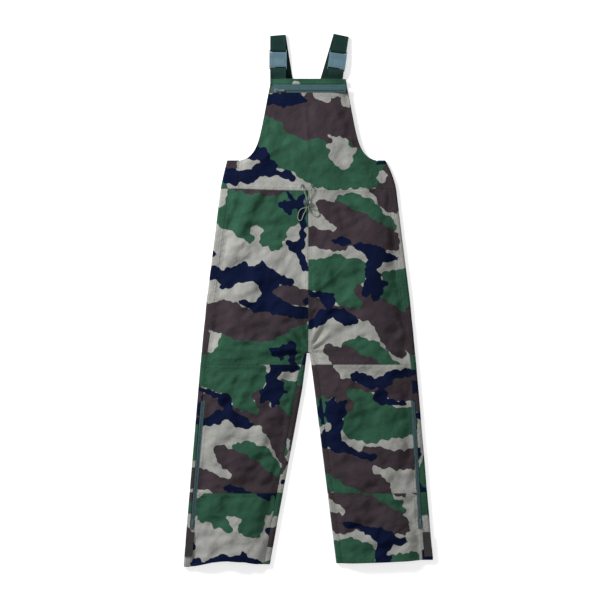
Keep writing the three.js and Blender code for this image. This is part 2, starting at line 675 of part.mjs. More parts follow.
const springLength = plungerBack - boreBack - 2 * gap - springWire;
const springPath = new THREE.CatmullRomCurve3(steps(0, springTurns * 360, 14 * springTurns).map((degrees) => {
  const angle = THREE.MathUtils.degToRad(degrees);
  const share = degrees / (springTurns * 360);
  const radius = boreRadius - gap - springWire;
  return new THREE.Vector3(boreBack + gap + springWire / 2 + share * springLength,
    radius * Math.cos(angle), radius * Math.sin(angle));
}));
add('cord_lock_spring', new THREE.ExtrudeGeometry(ring(springWire / 2, 6), {
  steps: 14 * springTurns, bevelEnabled: false, extrudePath: springPath,
}), materials.spring, lockFrame);

// ---- Hem tabs ----

for (const [side, sign] of sides) {
  const y0 = tabTopY - tabLength;
  const outer = (y) => sign * (outerX(y) - 2);
  const inner = (y) => sign * (outerX(y) - 2 - tabWidth);
  const low = foldHeight + gap;
  add(`hem_loop_patch_${side}`, plate([[outer(y0) - sign * 6, y0 + 5], [outer(tabTopY) - sign * 6, tabTopY - 5],
    [inner(tabTopY) + sign * 2, tabTopY - 5], [inner(y0) + sign * 2, y0 + 5]], low, low + 1), materials.hookTape);
  add(`hem_tab_${side}`, plate([[outer(y0), y0], [outer(tabTopY), tabTopY], [inner(tabTopY), tabTopY],
    [inner(y0), y0]], low + 1 + gap, low + 1 + gap + tabWall), materials.hookTape);
}

// The origin is the middle of the base.
const extent = new THREE.Box3().setFromObject(garment, true);
const centre = extent.getCenter(new THREE.Vector3());
garment.position.set(-centre.x, -centre.y, -extent.min.z);

export default garment;
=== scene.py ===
"""Looks of a pair of bib-and-brace overtrousers laid flat: printed cloth, webbing, zips, buckles and cord."""

import math

import bmesh
import bpy
import numpy as np
from mathutils import Matrix, Vector, noise


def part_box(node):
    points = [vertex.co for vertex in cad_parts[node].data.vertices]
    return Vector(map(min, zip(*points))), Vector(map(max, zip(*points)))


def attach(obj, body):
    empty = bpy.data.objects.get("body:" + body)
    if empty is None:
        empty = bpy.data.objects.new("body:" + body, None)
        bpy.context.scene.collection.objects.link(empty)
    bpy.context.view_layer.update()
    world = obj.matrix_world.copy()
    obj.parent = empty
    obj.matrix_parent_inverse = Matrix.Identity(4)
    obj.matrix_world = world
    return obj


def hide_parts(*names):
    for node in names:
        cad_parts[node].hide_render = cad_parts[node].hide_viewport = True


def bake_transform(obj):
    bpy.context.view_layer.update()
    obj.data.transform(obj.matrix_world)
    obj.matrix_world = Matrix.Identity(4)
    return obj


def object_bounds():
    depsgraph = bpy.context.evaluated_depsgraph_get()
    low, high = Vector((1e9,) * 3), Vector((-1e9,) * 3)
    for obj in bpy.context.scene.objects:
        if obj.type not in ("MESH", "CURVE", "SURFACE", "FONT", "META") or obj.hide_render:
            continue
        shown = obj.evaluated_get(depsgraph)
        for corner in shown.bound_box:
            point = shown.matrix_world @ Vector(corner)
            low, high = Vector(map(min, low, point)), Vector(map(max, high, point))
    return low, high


bl_info = {
    "name": "Bib Overtrousers",
    "version": (1, 0, 0),
    "blender": (4, 5, 0),
    "location": "View3D > Sidebar > Overtrousers",
    "description": "Sews printed bib overtrousers over a packed frame",
    "category": "Add Mesh",
}

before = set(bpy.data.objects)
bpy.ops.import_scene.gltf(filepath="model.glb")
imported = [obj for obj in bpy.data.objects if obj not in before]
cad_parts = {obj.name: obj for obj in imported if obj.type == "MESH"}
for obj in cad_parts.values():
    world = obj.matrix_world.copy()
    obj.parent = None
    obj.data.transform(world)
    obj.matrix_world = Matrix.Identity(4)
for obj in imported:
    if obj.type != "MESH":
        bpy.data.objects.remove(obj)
CAD_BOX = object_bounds()

MM = 0.001
SIDES = (("left", -1), ("right", 1))

# ---- Places along and across the garment, in millimetres ----

BIB_TOP_Y = 636
ARMHOLE_Y = 403
WAIST_Y = 322
BELLY_Y = 200
SEAT_Y = 50
CROTCH_Y = -150
KNEE_Y = -182
INNER_THIGH_Y = -250
SHIN_Y = -550
HEM_Y = -750
YOKE_TOP_Y = 432
STRAP_FOOT_Y = 480
STRAP_TOP_Y = 764

BIB_TOP_HALF = 107
BIB_FLARE = 44
ARMHOLE_SHARPNESS = 8
TAB_SEAM_X = 199
OUTER_X = ((HEM_Y, 358), (KNEE_Y, 310), (0, 292), (WAIST_Y, 252), (ARMHOLE_Y, 236))
SEAM_X = {
    "left": ((HEM_Y, 342), (KNEE_Y, 294), (0, 268), (WAIST_Y, 228)),
    "right": ((HEM_Y, 327), (KNEE_Y, 294), (0, 268), (WAIST_Y, 228)),
}
INNER_X = {
    "left": ((HEM_Y, 110), (INNER_THIGH_Y, 17), (CROTCH_Y, 4)),
    "right": ((HEM_Y, 80), (INNER_THIGH_Y, 17), (CROTCH_Y, 4)),
}
INSEAM_WRAP = 17
CLOTH_WALL = 1.6
LINING_WALL = 1.4
WEB_WALL = 1.8
GAP = 0.3
SEAM_GAP = 0.05
POCKET_DEPTH = 5.5
LEG_CROWN = 12
BIB_CROWN = 8
ROLL_WIDTH = 60
EDGE_FLAT = 8.3
CHANNEL_WALL = 2.6
BAND_DEPTH = 16

EDGE_Z = WEB_WALL + 2 * GAP + LINING_WALL + POCKET_DEPTH
FOLD_HEIGHT = EDGE_Z + CLOTH_WALL
EDGE_ROLL = FOLD_HEIGHT / 2
CLOTH_TOP_Z = FOLD_HEIGHT + BIB_CROWN
FRAME_Y = CAD_BOX[0].y / MM - HEM_Y

# ---- Patches of the print, each an outline on the cloth, in millimetres ----

LEFT_PRINT = {
    "green": (
        ((-213, 330), (-231, 300), (-232, 280), (-247, 268), (-252, 250), (-252, 225), (-248, 210),
         (-238, 205), (-224, 205), (-205, 189), (-192, 186), (-172, 169), (-160, 170), (-160, 177),
         (-172, 197), (-181, 229), (-176, 231), (-150, 218), (-138, 216), (-128, 209), (-125, 198),
         (-135, 175), (-134, 168), (-100, 150), (-92, 150), (-84, 156), (-80, 168), (-70, 178),
         (-64, 213), (-50, 215), (-46, 225), (-38, 231), (-14, 215), (8, 220), (8, 358), (-60, 346),
         (-90, 325), (-150, 318)),
        ((8, -60), (8, -200), (-310, -200), (-310, -145), (-288, -145), (-284, -158), (-276, -163),
         (-258, -145), (-246, -112), (-236, -100), (-222, -90), (-60, -60)),
    ),
    "brown": (
        ((-300, -15), (-280, -12), (-262, -2), (-214, -2), (-195, -20), (-160, -25), (8, -30),
         (8, -60), (-50, -72), (-58, -78), (-60, -88), (-95, -100), (-105, -108), (-150, -115),
         (-172, -104), (-200, -112), (-222, -98), (-234, -98), (-238, -90), (-245, -87), (-262, -88),
         (-300, -78)),
        ((-108, 26), (-96, 38), (-66, 49), (-38, 42), (-10, 27), (6, 27), (6, -12), (-35, -15),
         (-94, 10)),
    ),
    "black": (
        ((-90, 277), (-54, 249), (-47, 252), (-46, 262), (-36, 268), (-30, 262), (-32, 238),
         (-25, 228), (-25, 172), (-58, 172), (-64, 166), (-60, 158), (-40, 137), (-27, 128), (-24, 98),
         (-16, 90), (-8, 88), (0, 92), (2, 100), (-20, 136), (-10, 155), (-9, 300), (-22, 303),
         (-32, 300), (-36, 292), (-48, 296), (-60, 315), (-58, 300), (-46, 284), (-58, 287), (-72, 285)),
        ((-284, 98), (-258, 100), (-250, 85), (-238, 98), (-222, 96), (-208, 99), (-190, 110),
         (-178, 110), (-168, 101), (-158, 98), (-150, 98), (-134, 110), (-124, 110), (-114, 90),
         (-92, 86), (-86, 76), (-48, 63), (-41, 55), (-41, 47), (-52, 46), (-66, 50), (-94, 39),
         (-106, 27), (-92, 9), (-34, -15), (6, -12), (8, -52), (-15, -52), (-45, -43), (-70, -42),
         (-110, -33), (-160, -28), (-172, -22), (-195, -8), (-195, 0), (-185, 2), (-172, 0),
         (-165, -5), (-155, -5), (-142, 10), (-126, 20), (-142, 35), (-145, 45), (-152, 52),
         (-165, 57), (-180, 56), (-210, 50), (-222, 36), (-254, 36), (-256, 42), (-252, 50),
         (-268, 62), (-285, 58)),
        ((-16, 4), (-8, 9), (2, 10), (8, 6), (8, -10), (-4, -10), (-13, -5)),
        ((-280, 142), (-270, 142), (-266, 135), (-270, 127), (-280, 126)),
    ),
}

RIGHT_PRINT = {
    "green": (
        ((78, 282), (82, 292), (92, 298), (104, 299), (112, 305), (125, 306), (152, 296), (168, 296),
         (178, 292), (188, 274), (200, 271), (208, 262), (210, 248), (222, 240), (240, 234),
         (240, 222), (250, 212), (247, 205), (235, 200), (150, 245), (118, 256)),
        ((206, 80), (262, 82), (290, 95), (292, -40), (276, -38), (245, -15), (228, -10), (215, 0),
         (205, 15), (215, 65)),
        ((-45, 100), (-35, 110), (40, 115), (70, 128), (86, 131), (100, 127), (110, 120), (130, 121),
         (161, 107), (163, 60), (140, 42), (132, 28), (134, 16), (152, 2), (157, -8), (156, -24),
         (148, -30), (132, -24), (112, -24), (90, -14), (62, 26), (28, 24), (22, 33), (-35, 36),
         (-45, 30)),
    ),
    "brown": (
        ((25, 276), (30, 285), (42, 287), (56, 278), (90, 280), (108, 275), (126, 257), (150, 255),
         (162, 244), (205, 218), (235, 206), (248, 195), (257, 182), (259, 160), (255, 148),
         (230, 146), (120, 160), (95, 148), (65, 146), (32, 152), (24, 159), (-55, 152), (-55, 184),
         (-42, 183), (-42, 197), (-35, 206), (22, 208), (65, 195), (80, 196), (87, 205), (83, 214),
         (42, 241)),
        ((156, 46), (161, 14), (172, 16), (180, 26), (186, 4), (194, -2), (206, 8), (228, -10),
         (245, -15), (276, -38), (294, -40), (302, -80), (309, -152), (300, -155), (290, -150),
         (279, -136), (277, -152), (268, -161), (252, -158), (222, -138), (221, -127), (208, -110),
         (192, -76), (178, -64), (168, -50), (150, -52), (122, -36), (80, -40), (20, -62), (-53, -60),
         (-53, 14), (16, 12), (34, 6), (70, -14), (132, -24), (148, -30), (157, -20), (158, 0),
         (134, 18), (134, 28), (142, 42)),
    ),
    "black": (
        ((68, 172), (72, 178), (88, 183), (118, 176), (130, 165), (148, 165), (160, 160), (182, 163),
         (225, 138), (258, 126), (260, 122), (248, 116), (235, 112), (215, 112), (196, 90), (196, 82),
         (214, 76), (208, 68), (215, 58), (228, 54), (228, 50), (215, 46), (212, 20), (198, 8),
         (192, -2), (186, 2), (184, 15), (178, 25), (172, 15), (162, 10), (154, 15), (156, 30),
         (152, 45), (164, 60), (162, 75), (170, 110), (168, 120), (150, 142), (128, 155), (118, 160),
         (105, 156), (92, 162), (75, 163)),
        ((-37, 30), (20, 26), (30, 22), (62, 26), (70, 18), (72, 5), (78, -4), (74, -15), (64, -22),
         (50, -20), (42, -12), (30, 12), (-37, 20)),
        ((-40, -78), (20, -77), (52, -62), (60, -50), (70, -45), (78, -55), (90, -62), (118, -70),
         (132, -68), (142, -62), (142, -52), (110, -28), (95, -22), (42, -24), (28, -30), (12, -55),
         (-45, -56)),
    ),
}

BIB_PRINT = {
    "green": (
        ((-290, 356), (-262, 358), (-248, 354), (-238, 330), (-236, 300), (-290, 300)),
        ((-140, 548), (-118, 532), (-100, 524), (-85, 522), (-75, 514), (-60, 488), (-50, 480),
         (-36, 478), (-26, 468), (5, 461), (36, 472), (46, 466), (150, 450), (165, 425), (205, 400),
         (255, 400), (255, 320), (130, 326), (60, 320), (20, 331), (6, 338), (-22, 359), (-34, 362),
         (-40, 375), (-90, 385), (-160, 420), (-165, 460)),
        ((-130, 618), (-50, 618), (-46, 628), (-36, 632), (-24, 628), (-20, 618), (130, 618),
         (130, 640), (-130, 640)),
    ),
    "brown": (
        ((-60, 604), (-20, 604), (-12, 580), (8, 604), (12, 590), (20, 580), (35, 574), (45, 566),
         (55, 566), (62, 575), (88, 586), (100, 560), (110, 556), (125, 556), (152, 450), (146, 438),
         (136, 438), (124, 445), (122, 458), (110, 464), (72, 470), (60, 476), (58, 470), (75, 450),
         (60, 448), (46, 466), (36, 472), (5, 461), (-26, 468), (-36, 478), (-50, 480), (-60, 488),
         (-75, 514), (-85, 522), (-100, 524), (-118, 532), (-140, 548)),
        ((-300, 420), (-205, 420), (-203, 398), (-206, 384), (-214, 376), (-240, 366), (-258, 362),
         (-300, 360)),
        ((212, 388), (246, 388), (252, 330), (250, 222), (246, 260), (240, 270), (222, 275),
         (213, 288), (208, 303), (198, 315), (195, 330), (212, 350)),
    ),
    "bleach": (
        ((47, 448), (75, 450), (60, 466), (57, 476), (80, 468), (112, 463), (120, 455), (122, 446),
         (142, 436), (128, 420), (122, 385), (118, 377), (105, 375), (92, 378), (84, 388), (62, 400),
         (58, 415), (62, 425), (60, 433), (50, 438)),
        ((8, 604), (12, 592), (22, 582), (54, 564), (62, 572), (66, 584), (78, 592), (84, 604)),
        ((95, 590), (93, 575), (98, 562), (108, 556), (116, 558), (116, 590)),
        ((-28, 604), (-14, 582), (-10, 590), (-12, 604)),
        ((200, 376), (214, 378), (222, 372), (226, 360), (224, 348), (218, 338), (200, 336)),
        ((-205, 404), (-168, 402), (-163, 394), (-176, 376), (-188, 372), (-200, 374), (-204, 384)),
    ),
    "black": (
        ((-178, 412), (-148, 448), (-140, 440), (-125, 440), (-115, 430), (-108, 405), (-98, 400),
         (-92, 390), (-92, 376), (-80, 373), (-60, 374), (-48, 370), (-34, 352), (-38, 343),
         (-50, 342), (-62, 350), (-80, 355), (-130, 359), (-145, 352), (-165, 333), (-205, 340),
         (-205, 372), (-165, 375), (-158, 388), (-150, 396), (-140, 400), (-165, 402)),
        ((-125, 592), (-70, 592), (-32, 600), (-14, 580), (8, 572), (6, 566), (-25, 566), (-60, 556),
         (-105, 562), (-125, 560)),
        ((198, 402), (260, 402), (260, 388), (220, 392), (198, 390)),
        ((-260, 380), (-214, 380), (-204, 376), (-196, 370), (-190, 350), (-200, 336), (-215, 332),
         (-232, 338), (-243, 344), (-250, 352), (-262, 356)),
    ),
}
LAYERS = ("green", "brown", "bleach", "black")
LEFT_REPEAT = (-25, -418)
RIGHT_REPEAT = (21, -413)
NOWHERE = -60.0

# How far each ink spreads past its outline, so that it meets the one printed over it.
SPREAD = {"green": 6.0, "brown": 4.5, "bleach": 0.5, "black": 2.0}

# A column of the print: its patches, the step to the next repeat along it, and its place across.
LEFT_COLUMN = (LEFT_PRINT, LEFT_REPEAT, 0)
RIGHT_COLUMN = (RIGHT_PRINT, RIGHT_REPEAT, 0)
BIB_COLUMN = (BIB_PRINT, (0, 4000), 0)
ROLL_STEP = 585
ROLL_OF_CLOTH = tuple((*column[:2], across) for across in (-ROLL_STEP, 0, ROLL_STEP)
                      for column in (LEFT_COLUMN, RIGHT_COLUMN))

# Where a panel was cut from the print: the column, the panel's centre and turn in degrees, and the
# point of the print that lies under that centre.
CUTS = {
    "thigh_left": (LEFT_COLUMN, (0, 0), 0, (0, 0)),
    "knee_left": (RIGHT_COLUMN, (-175, -367.5), -8, (130, -70)),
    "shin_left": (LEFT_COLUMN, (-230, -652.5), 4, (-195, -240)),
    "thigh_right": (RIGHT_COLUMN, (0, 0), 0, (0, 0)),
    "knee_right": (RIGHT_COLUMN, (172.5, -362.5), 180, (90, 90)),
    "shin_right": (RIGHT_COLUMN, (205, -647.5), 0, (200, -250)),
    "bib": (BIB_COLUMN, (0, 0), 0, (0, 0)),
    "yoke": (LEFT_COLUMN, (0, 380), 0, (0, 110)),
}


def along(points, at):
    """Straight interpolation through (position, value) pairs."""
    ordered = sorted(points)
    return np.interp(at, [p for p, _ in ordered], [v for _, v in ordered])


def outer_x(y):
    return along(OUTER_X, y)


def bib_x(y):
    share = np.clip((BIB_TOP_Y - y) / (BIB_TOP_Y - ARMHOLE_Y), 0, 1)
    lean = BIB_TOP_HALF + BIB_FLARE * share
    curve = lean + (TAB_SEAM_X - BIB_TOP_HALF - BIB_FLARE) * (1 - np.sqrt(1 - share**ARMHOLE_SHARPNESS))
    return np.where(y <= ARMHOLE_Y + 2, TAB_SEAM_X, curve)


def seam_x(side, y):
    return along(SEAM_X[side], y)


def inner_x(side, y):
    return along(INNER_X[side], y)


def inseam_wrap(y):
    return along(((CROTCH_Y, EDGE_ROLL + 1), (CROTCH_Y - 60, INSEAM_WRAP)), y)


def roll(distance):
    """Share of the full height that the cloth has reached at a distance from its edge."""
    return 1 - (1 - np.clip(distance / ROLL_WIDTH, 0, 1)) ** 2.5


def front_height(side, x, y):
    """Height of the front layer's underside."""
    blend = np.clip((y - (WAIST_Y - 120)) / 120, 0, 1)
    trunk = seam_x(side, y) * (1 - blend) + TAB_SEAM_X * blend
    edge = np.where(y > WAIST_Y, bib_x(y), trunk)
    outer = roll(edge - EDGE_FLAT - np.abs(x))
    parting = along(((CROTCH_Y, 1), (CROTCH_Y + 150, 0)), y)
    inner = roll(np.abs(x) - inner_x(side, y) - INSEAM_WRAP)
    rise = along(((SEAT_Y, LEG_CROWN), (BELLY_Y, BIB_CROWN)), y)
    return EDGE_Z + rise * outer * (1 - parting * (1 - inner))


# ---- The print ----


def rounded(outline, passes=1):
    """The outline with its corners cut, so that a few points give a soft patch."""
    points = np.array(outline, float)
    for _ in range(passes):
        after = np.roll(points, -1, axis=0)
        points = np.stack([0.75 * points + 0.25 * after, 0.25 * points + 0.75 * after], 1).reshape(-1, 2)
    return points


def depth_inside(points, outline):
    """Distance of each point to the outline, positive inside it."""
    start = outline
    way = np.roll(outline, -1, axis=0) - start
    apart = points[:, None, :] - start[None]
    share = np.clip((apart * way).sum(2) / np.maximum((way**2).sum(1), 1e-9), 0, 1)
    distance = np.linalg.norm(apart - share[..., None] * way, axis=2).min(1)
    crosses = (start[:, 1] > points[:, 1:2]) != ((start + way)[:, 1] > points[:, 1:2])
    rise = np.where(np.abs(way[:, 1]) < 1e-9, 1e-9, way[:, 1])
    reached = start[:, 0] + (points[:, 1:2] - start[:, 1]) * way[:, 0] / rise
    inside = (crosses & (points[:, 0:1] < reached)).sum(1) % 2 == 1
    return np.where(inside, distance, -distance)


def print_depths(cut, cloth, whole_roll=False):
    """How deep each point of the cloth lies in each colour of the print."""
    column, centre, turn, under = CUTS[cut]
    angle = math.radians(turn)
    away = cloth - np.array(centre)
    turned = np.stack([away[:, 0] * math.cos(angle) + away[:, 1] * math.sin(angle),
                       away[:, 1] * math.cos(angle) - away[:, 0] * math.sin(angle)], 1) + np.array(under)
    depths = {layer: np.full(len(cloth), NOWHERE) for layer in LAYERS}
    low, high = turned.min(0) + NOWHERE, turned.max(0) - NOWHERE
    for patches, repeat, across in ROLL_OF_CLOTH if whole_roll else (column,):
        for layer, times in ((layer, times) for layer in patches for times in (-2, -1, 0, 1, 2)):
            for outline in patches[layer]:
                patch = rounded(outline) + times * np.array(repeat) + np.array((across, 0))
                if (patch.max(0) > low).all() and (patch.min(0) < high).all():
                    depth = depth_inside(turned, patch) + SPREAD[layer]
                    depths[layer] = np.maximum(depths[layer], depth)
    return depths


def cut_depths(cut, cloth):
    """As print_depths. cut may list (height along the garment, cut) pairs, each used from that height up."""
    if isinstance(cut, str):
        return print_depths(cut, cloth, cut == "yoke")
    depths = print_depths(cut[0][1], cloth, True)
    for height, upper in cut[1:]:
        above = print_depths(upper, cloth, True)
        depths = {layer: np.where(cloth[:, 1] > height, above[layer], depths[layer]) for layer in LAYERS}
    return depths


# ---- Cloth meshes ----


def set_attribute(mesh, name, values):
    attribute = mesh.attributes.new(name, "FLOAT", "POINT")
    attribute.data.foreach_set("value", np.asarray(values, np.float32))


def new_object(name, mesh):
    piece = bpy.data.objects.new(name, mesh)
    bpy.context.scene.collection.objects.link(piece)
    return piece


def to_frame(points):
    return (np.asarray(points, float) + np.array((0, FRAME_Y, 0))) * MM


def grid_mesh(name, columns, rows, place):
    """A grid of the given size. place turns its shares across and along into points, in millimetres."""
    bm = bmesh.new()
    bmesh.ops.create_grid(bm, x_segments=columns, y_segments=rows, size=0.5)
    for edge in bm.edges:
        edge.smooth = not edge.is_boundary
    mesh = bpy.data.meshes.new(name)
    bm.to_mesh(mesh)
    bm.free()
    shares = np.zeros(len(mesh.vertices) * 3, np.float32)
    mesh.vertices.foreach_get("co", shares)
    shares = shares.reshape(-1, 3).astype(float) + 0.5
    points = place(shares[:, 0], shares[:, 1])
    mesh.vertices.foreach_set("co", to_frame(points).astype(np.float32).ravel())
    mesh.polygons.foreach_set("use_smooth", np.ones(len(mesh.polygons), bool))
    mesh.update()
    return mesh, shares, points


def fold(points, angle, length, width, seed):
    """Soft folds that run along an angle, between -1 and 1."""
    turn = math.radians(angle)
    run = (points[:, 0] * math.cos(turn) + points[:, 1] * math.sin(turn)) / length
    off = (points[:, 1] * math.cos(turn) - points[:, 0] * math.sin(turn)) / width
    return np.array([noise.noise(Vector((a, b, seed))) for a, b in zip(run, off)])


def wrinkles(points, seed, sizes):
    """Height of the wrinkles over the cloth: broad swells, long folds and small crumples."""
    swell = fold(points, 90, 260, 130, seed)
    slanted = fold(points, 62, 170, 38, seed + 7.3) + fold(points, 118, 150, 42, seed + 3.1)
    level = fold(points, 8, 120, 30, seed + 5.9)
    crumple = fold(points, 40, 26, 18, seed + 11.7)
    return (sizes.swell / MM * swell + sizes.fold / MM * (0.6 * slanted + 0.4 * level)
            + sizes.crumple / MM * crumple)


def crotch_creases(points):
    """Creases that fan out from where the legs part."""
    away = points[:, :2] - np.array((0, CROTCH_Y + 8))
    reach = np.linalg.norm(away, axis=1)
    angle = np.arctan2(away[:, 1], np.abs(away[:, 0]))
    return np.sin(angle * 11 + 0.6) * np.exp(-((reach - 55) / 50) ** 2) * (away[:, 1] > -25)


# Pressed creases over the laid front: their ends, and the height and the half width of each.
CREASES = (
    ((6, 15), (180, 158), 7.6, 12), ((14, -58), (222, 86), 8.5, 14),
    ((60, -70), (262, -10), 5.7, 12), ((232, -15), (292, -122), 7.6, 14),
    ((250, 60), (285, -60), 5.7, 12), ((2, 40), (96, 210), 4.9, 12),
    ((-4, -6), (-152, -62), 7.6, 12), ((-6, 30), (-130, 96), 5.7, 12),
    ((-300, -133), (-60, -146), 6.1, 10), ((-290, -96), (-120, -124), 4.9, 10),
    ((-296, -166), (-140, -160), 4.2, 9), ((-285, 60), (-190, 20), 5.7, 12),
    ((-270, 180), (-200, 120), 5.7, 12), ((190, 300), (262, 200), 6.5, 12),
    ((40, 300), (170, 262), 4.9, 10), ((-40, 470), (-150, 392), 5.3, 12),
    ((10, 455), (150, 372), 5.3, 12), ((60, 590), (96, 500), 4.2, 10),
    ((-110, 560), (-80, 470), 4.2, 10), ((-210, -420), (-150, -540), 5.7, 14),
    ((-300, -600), (-180, -640), 4.9, 12), ((110, -240), (230, -330), 5.7, 12),
    ((120, -470), (250, -560), 6.1, 14), ((300, -620), (200, -700), 4.9, 12),
)


# Folds level off towards this height over the plain cloth, and towards this depth under it.
HIGHEST_FOLD = 8.0


def pressed_creases(points):
    """Height of the pressed creases, each highest half way along and fading out beside it."""
    lift = 0
    for start, end, height, width in CREASES:
        start, way = np.array(start), np.subtract(end, start)
        reach = np.hypot(*way)
        away = points[:, :2] - start
        share = np.clip(away @ way / reach**2, 0, 1)
        beside = np.hypot(*(away - share[:, None] * way).T)
        lift = lift + height * np.sin(math.pi * share) ** 0.7 * np.exp(-beside / width)
    return lift


def bib_crease(points):
    """The pressed crease down the middle of the bib."""
    middle = along(((BIB_TOP_Y, -16), (470, -4), (WAIST_Y, 6)), points[:, 1])
    fade = np.clip((points[:, 1] - 400) / 60, 0, 1)
    ridge = np.exp(-((points[:, 0] - middle) / 7) ** 2)
    hollow = np.exp(-((points[:, 0] - middle - 13) / 9) ** 2)
    return fade * (ridge - 0.6 * hollow)


def calm(points):
    """0 where something lies on the cloth, which has to stay flat there, and 1 elsewhere."""
    cord = np.hypot(points[:, 0] / 46, (points[:, 1] - 272) / 62)
    strap = (BIB_TOP_Y - 60 - points[:, 1]) / 40
    return np.clip(cord - 1, 0, 1) * np.clip(strap, 0, 1)


def edge_distances(shares, cloth, rows):
    """Distances from each point to the panel's side edges and to its end edges, along the cloth."""
    row = np.rint(shares[:, 1] * rows).astype(int)
    low = np.full(rows + 1, np.inf)
    high = np.full(rows + 1, -np.inf)
    np.minimum.at(low, row, cloth[:, 0])
    np.maximum.at(high, row, cloth[:, 0])
    side = np.minimum(cloth[:, 0] - low[row], high[row] - cloth[:, 0])
    end = np.minimum(cloth[:, 1] - cloth[:, 1].min(), cloth[:, 1].max() - cloth[:, 1])
    return side, end


def lies_in_front(nodes):
    return any(word in node for node in nodes for word in ("front", "channel"))


def sew(name, nodes, cut, size, place, wall=CLOTH_WALL, seed=0.0, folds=1.0, plain_ends=()):
    """One panel of printed cloth. place gives its points and their places on the flat cloth.
    plain_ends lists its ends that have no stitches: 0 is the lower one and 1 the upper."""
    sizes = bpy.context.scene.overtrousers.cloth
    step = sizes.mesh_step / MM
    columns, rows = (max(2, round(length / step)) for length in size)
    flat = {}

    def placed(across, up):
        points, flat["cloth"] = place(across, up)
        return points

    mesh, shares, points = grid_mesh(name, columns, rows, placed)
    side, end = edge_distances(shares, flat["cloth"], rows)
    if folds:
        ease = np.clip(np.minimum(side, end) / 22, 0, 1)
        ease = ease * ease * (3 - 2 * ease)
        creases = sizes.crotch / MM * crotch_creases(points) + sizes.crease / MM * bib_crease(points)
        creases = creases + (pressed_creases(points) if lies_in_front(nodes) else 0)
        lift = folds * ease * calm(points) * (wrinkles(flat["cloth"], seed, sizes) + creases)
        points[:, 2] += HIGHEST_FOLD * np.tanh(lift / HIGHEST_FOLD)
        mesh.vertices.foreach_set("co", to_frame(points).astype(np.float32).ravel())
        mesh.update()
    for plain in plain_ends:
        end = np.where(np.abs(shares[:, 1] - plain) < 0.5, -NOWHERE, end)
    set_attribute(mesh, "side_edge", side)
    set_attribute(mesh, "end_edge", end)
    set_attribute(mesh, "run_x", flat["cloth"][:, 0])
    set_attribute(mesh, "run_y", flat["cloth"][:, 1])
    for layer, depth in cut_depths(cut, flat["cloth"]).items():
        set_attribute(mesh, layer, depth)
    piece = new_object(name, mesh)
    mesh.materials.append(printed_cloth())
    wall_of(piece, wall)
    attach(piece, "root")
    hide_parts(*nodes)
    return piece


def wall_of(piece, wall, offset=-1):
    solid = piece.modifiers.new("wall", "SOLIDIFY")
    solid.thickness = wall * MM
    solid.offset = offset
    solid.use_even_offset = True


def softened(name, node, material, width, body="root"):
    """The frame's own piece with its edges rounded off."""
    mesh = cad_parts[node].data.copy()
    bm = bmesh.new()
    bm.from_mesh(mesh)
    bmesh.ops.remove_doubles(bm, verts=bm.verts, dist=1e-5)
    bmesh.ops.dissolve_limit(bm, angle_limit=math.radians(1), verts=bm.verts, edges=bm.edges)
    bm.to_mesh(mesh)
    bm.free()
    mesh.materials.clear()
    mesh.materials.append(material)
    piece = new_object(name, mesh)
    bevel = piece.modifiers.new("soft edges", "BEVEL")
    bevel.width = width * MM
    bevel.segments = 2
    bevel.limit_method = "ANGLE"
    bevel.angle_limit = math.radians(35)
    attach(piece, body)
    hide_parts(node)
    return piece


# ---- Materials ----

FINISH = "finish_"


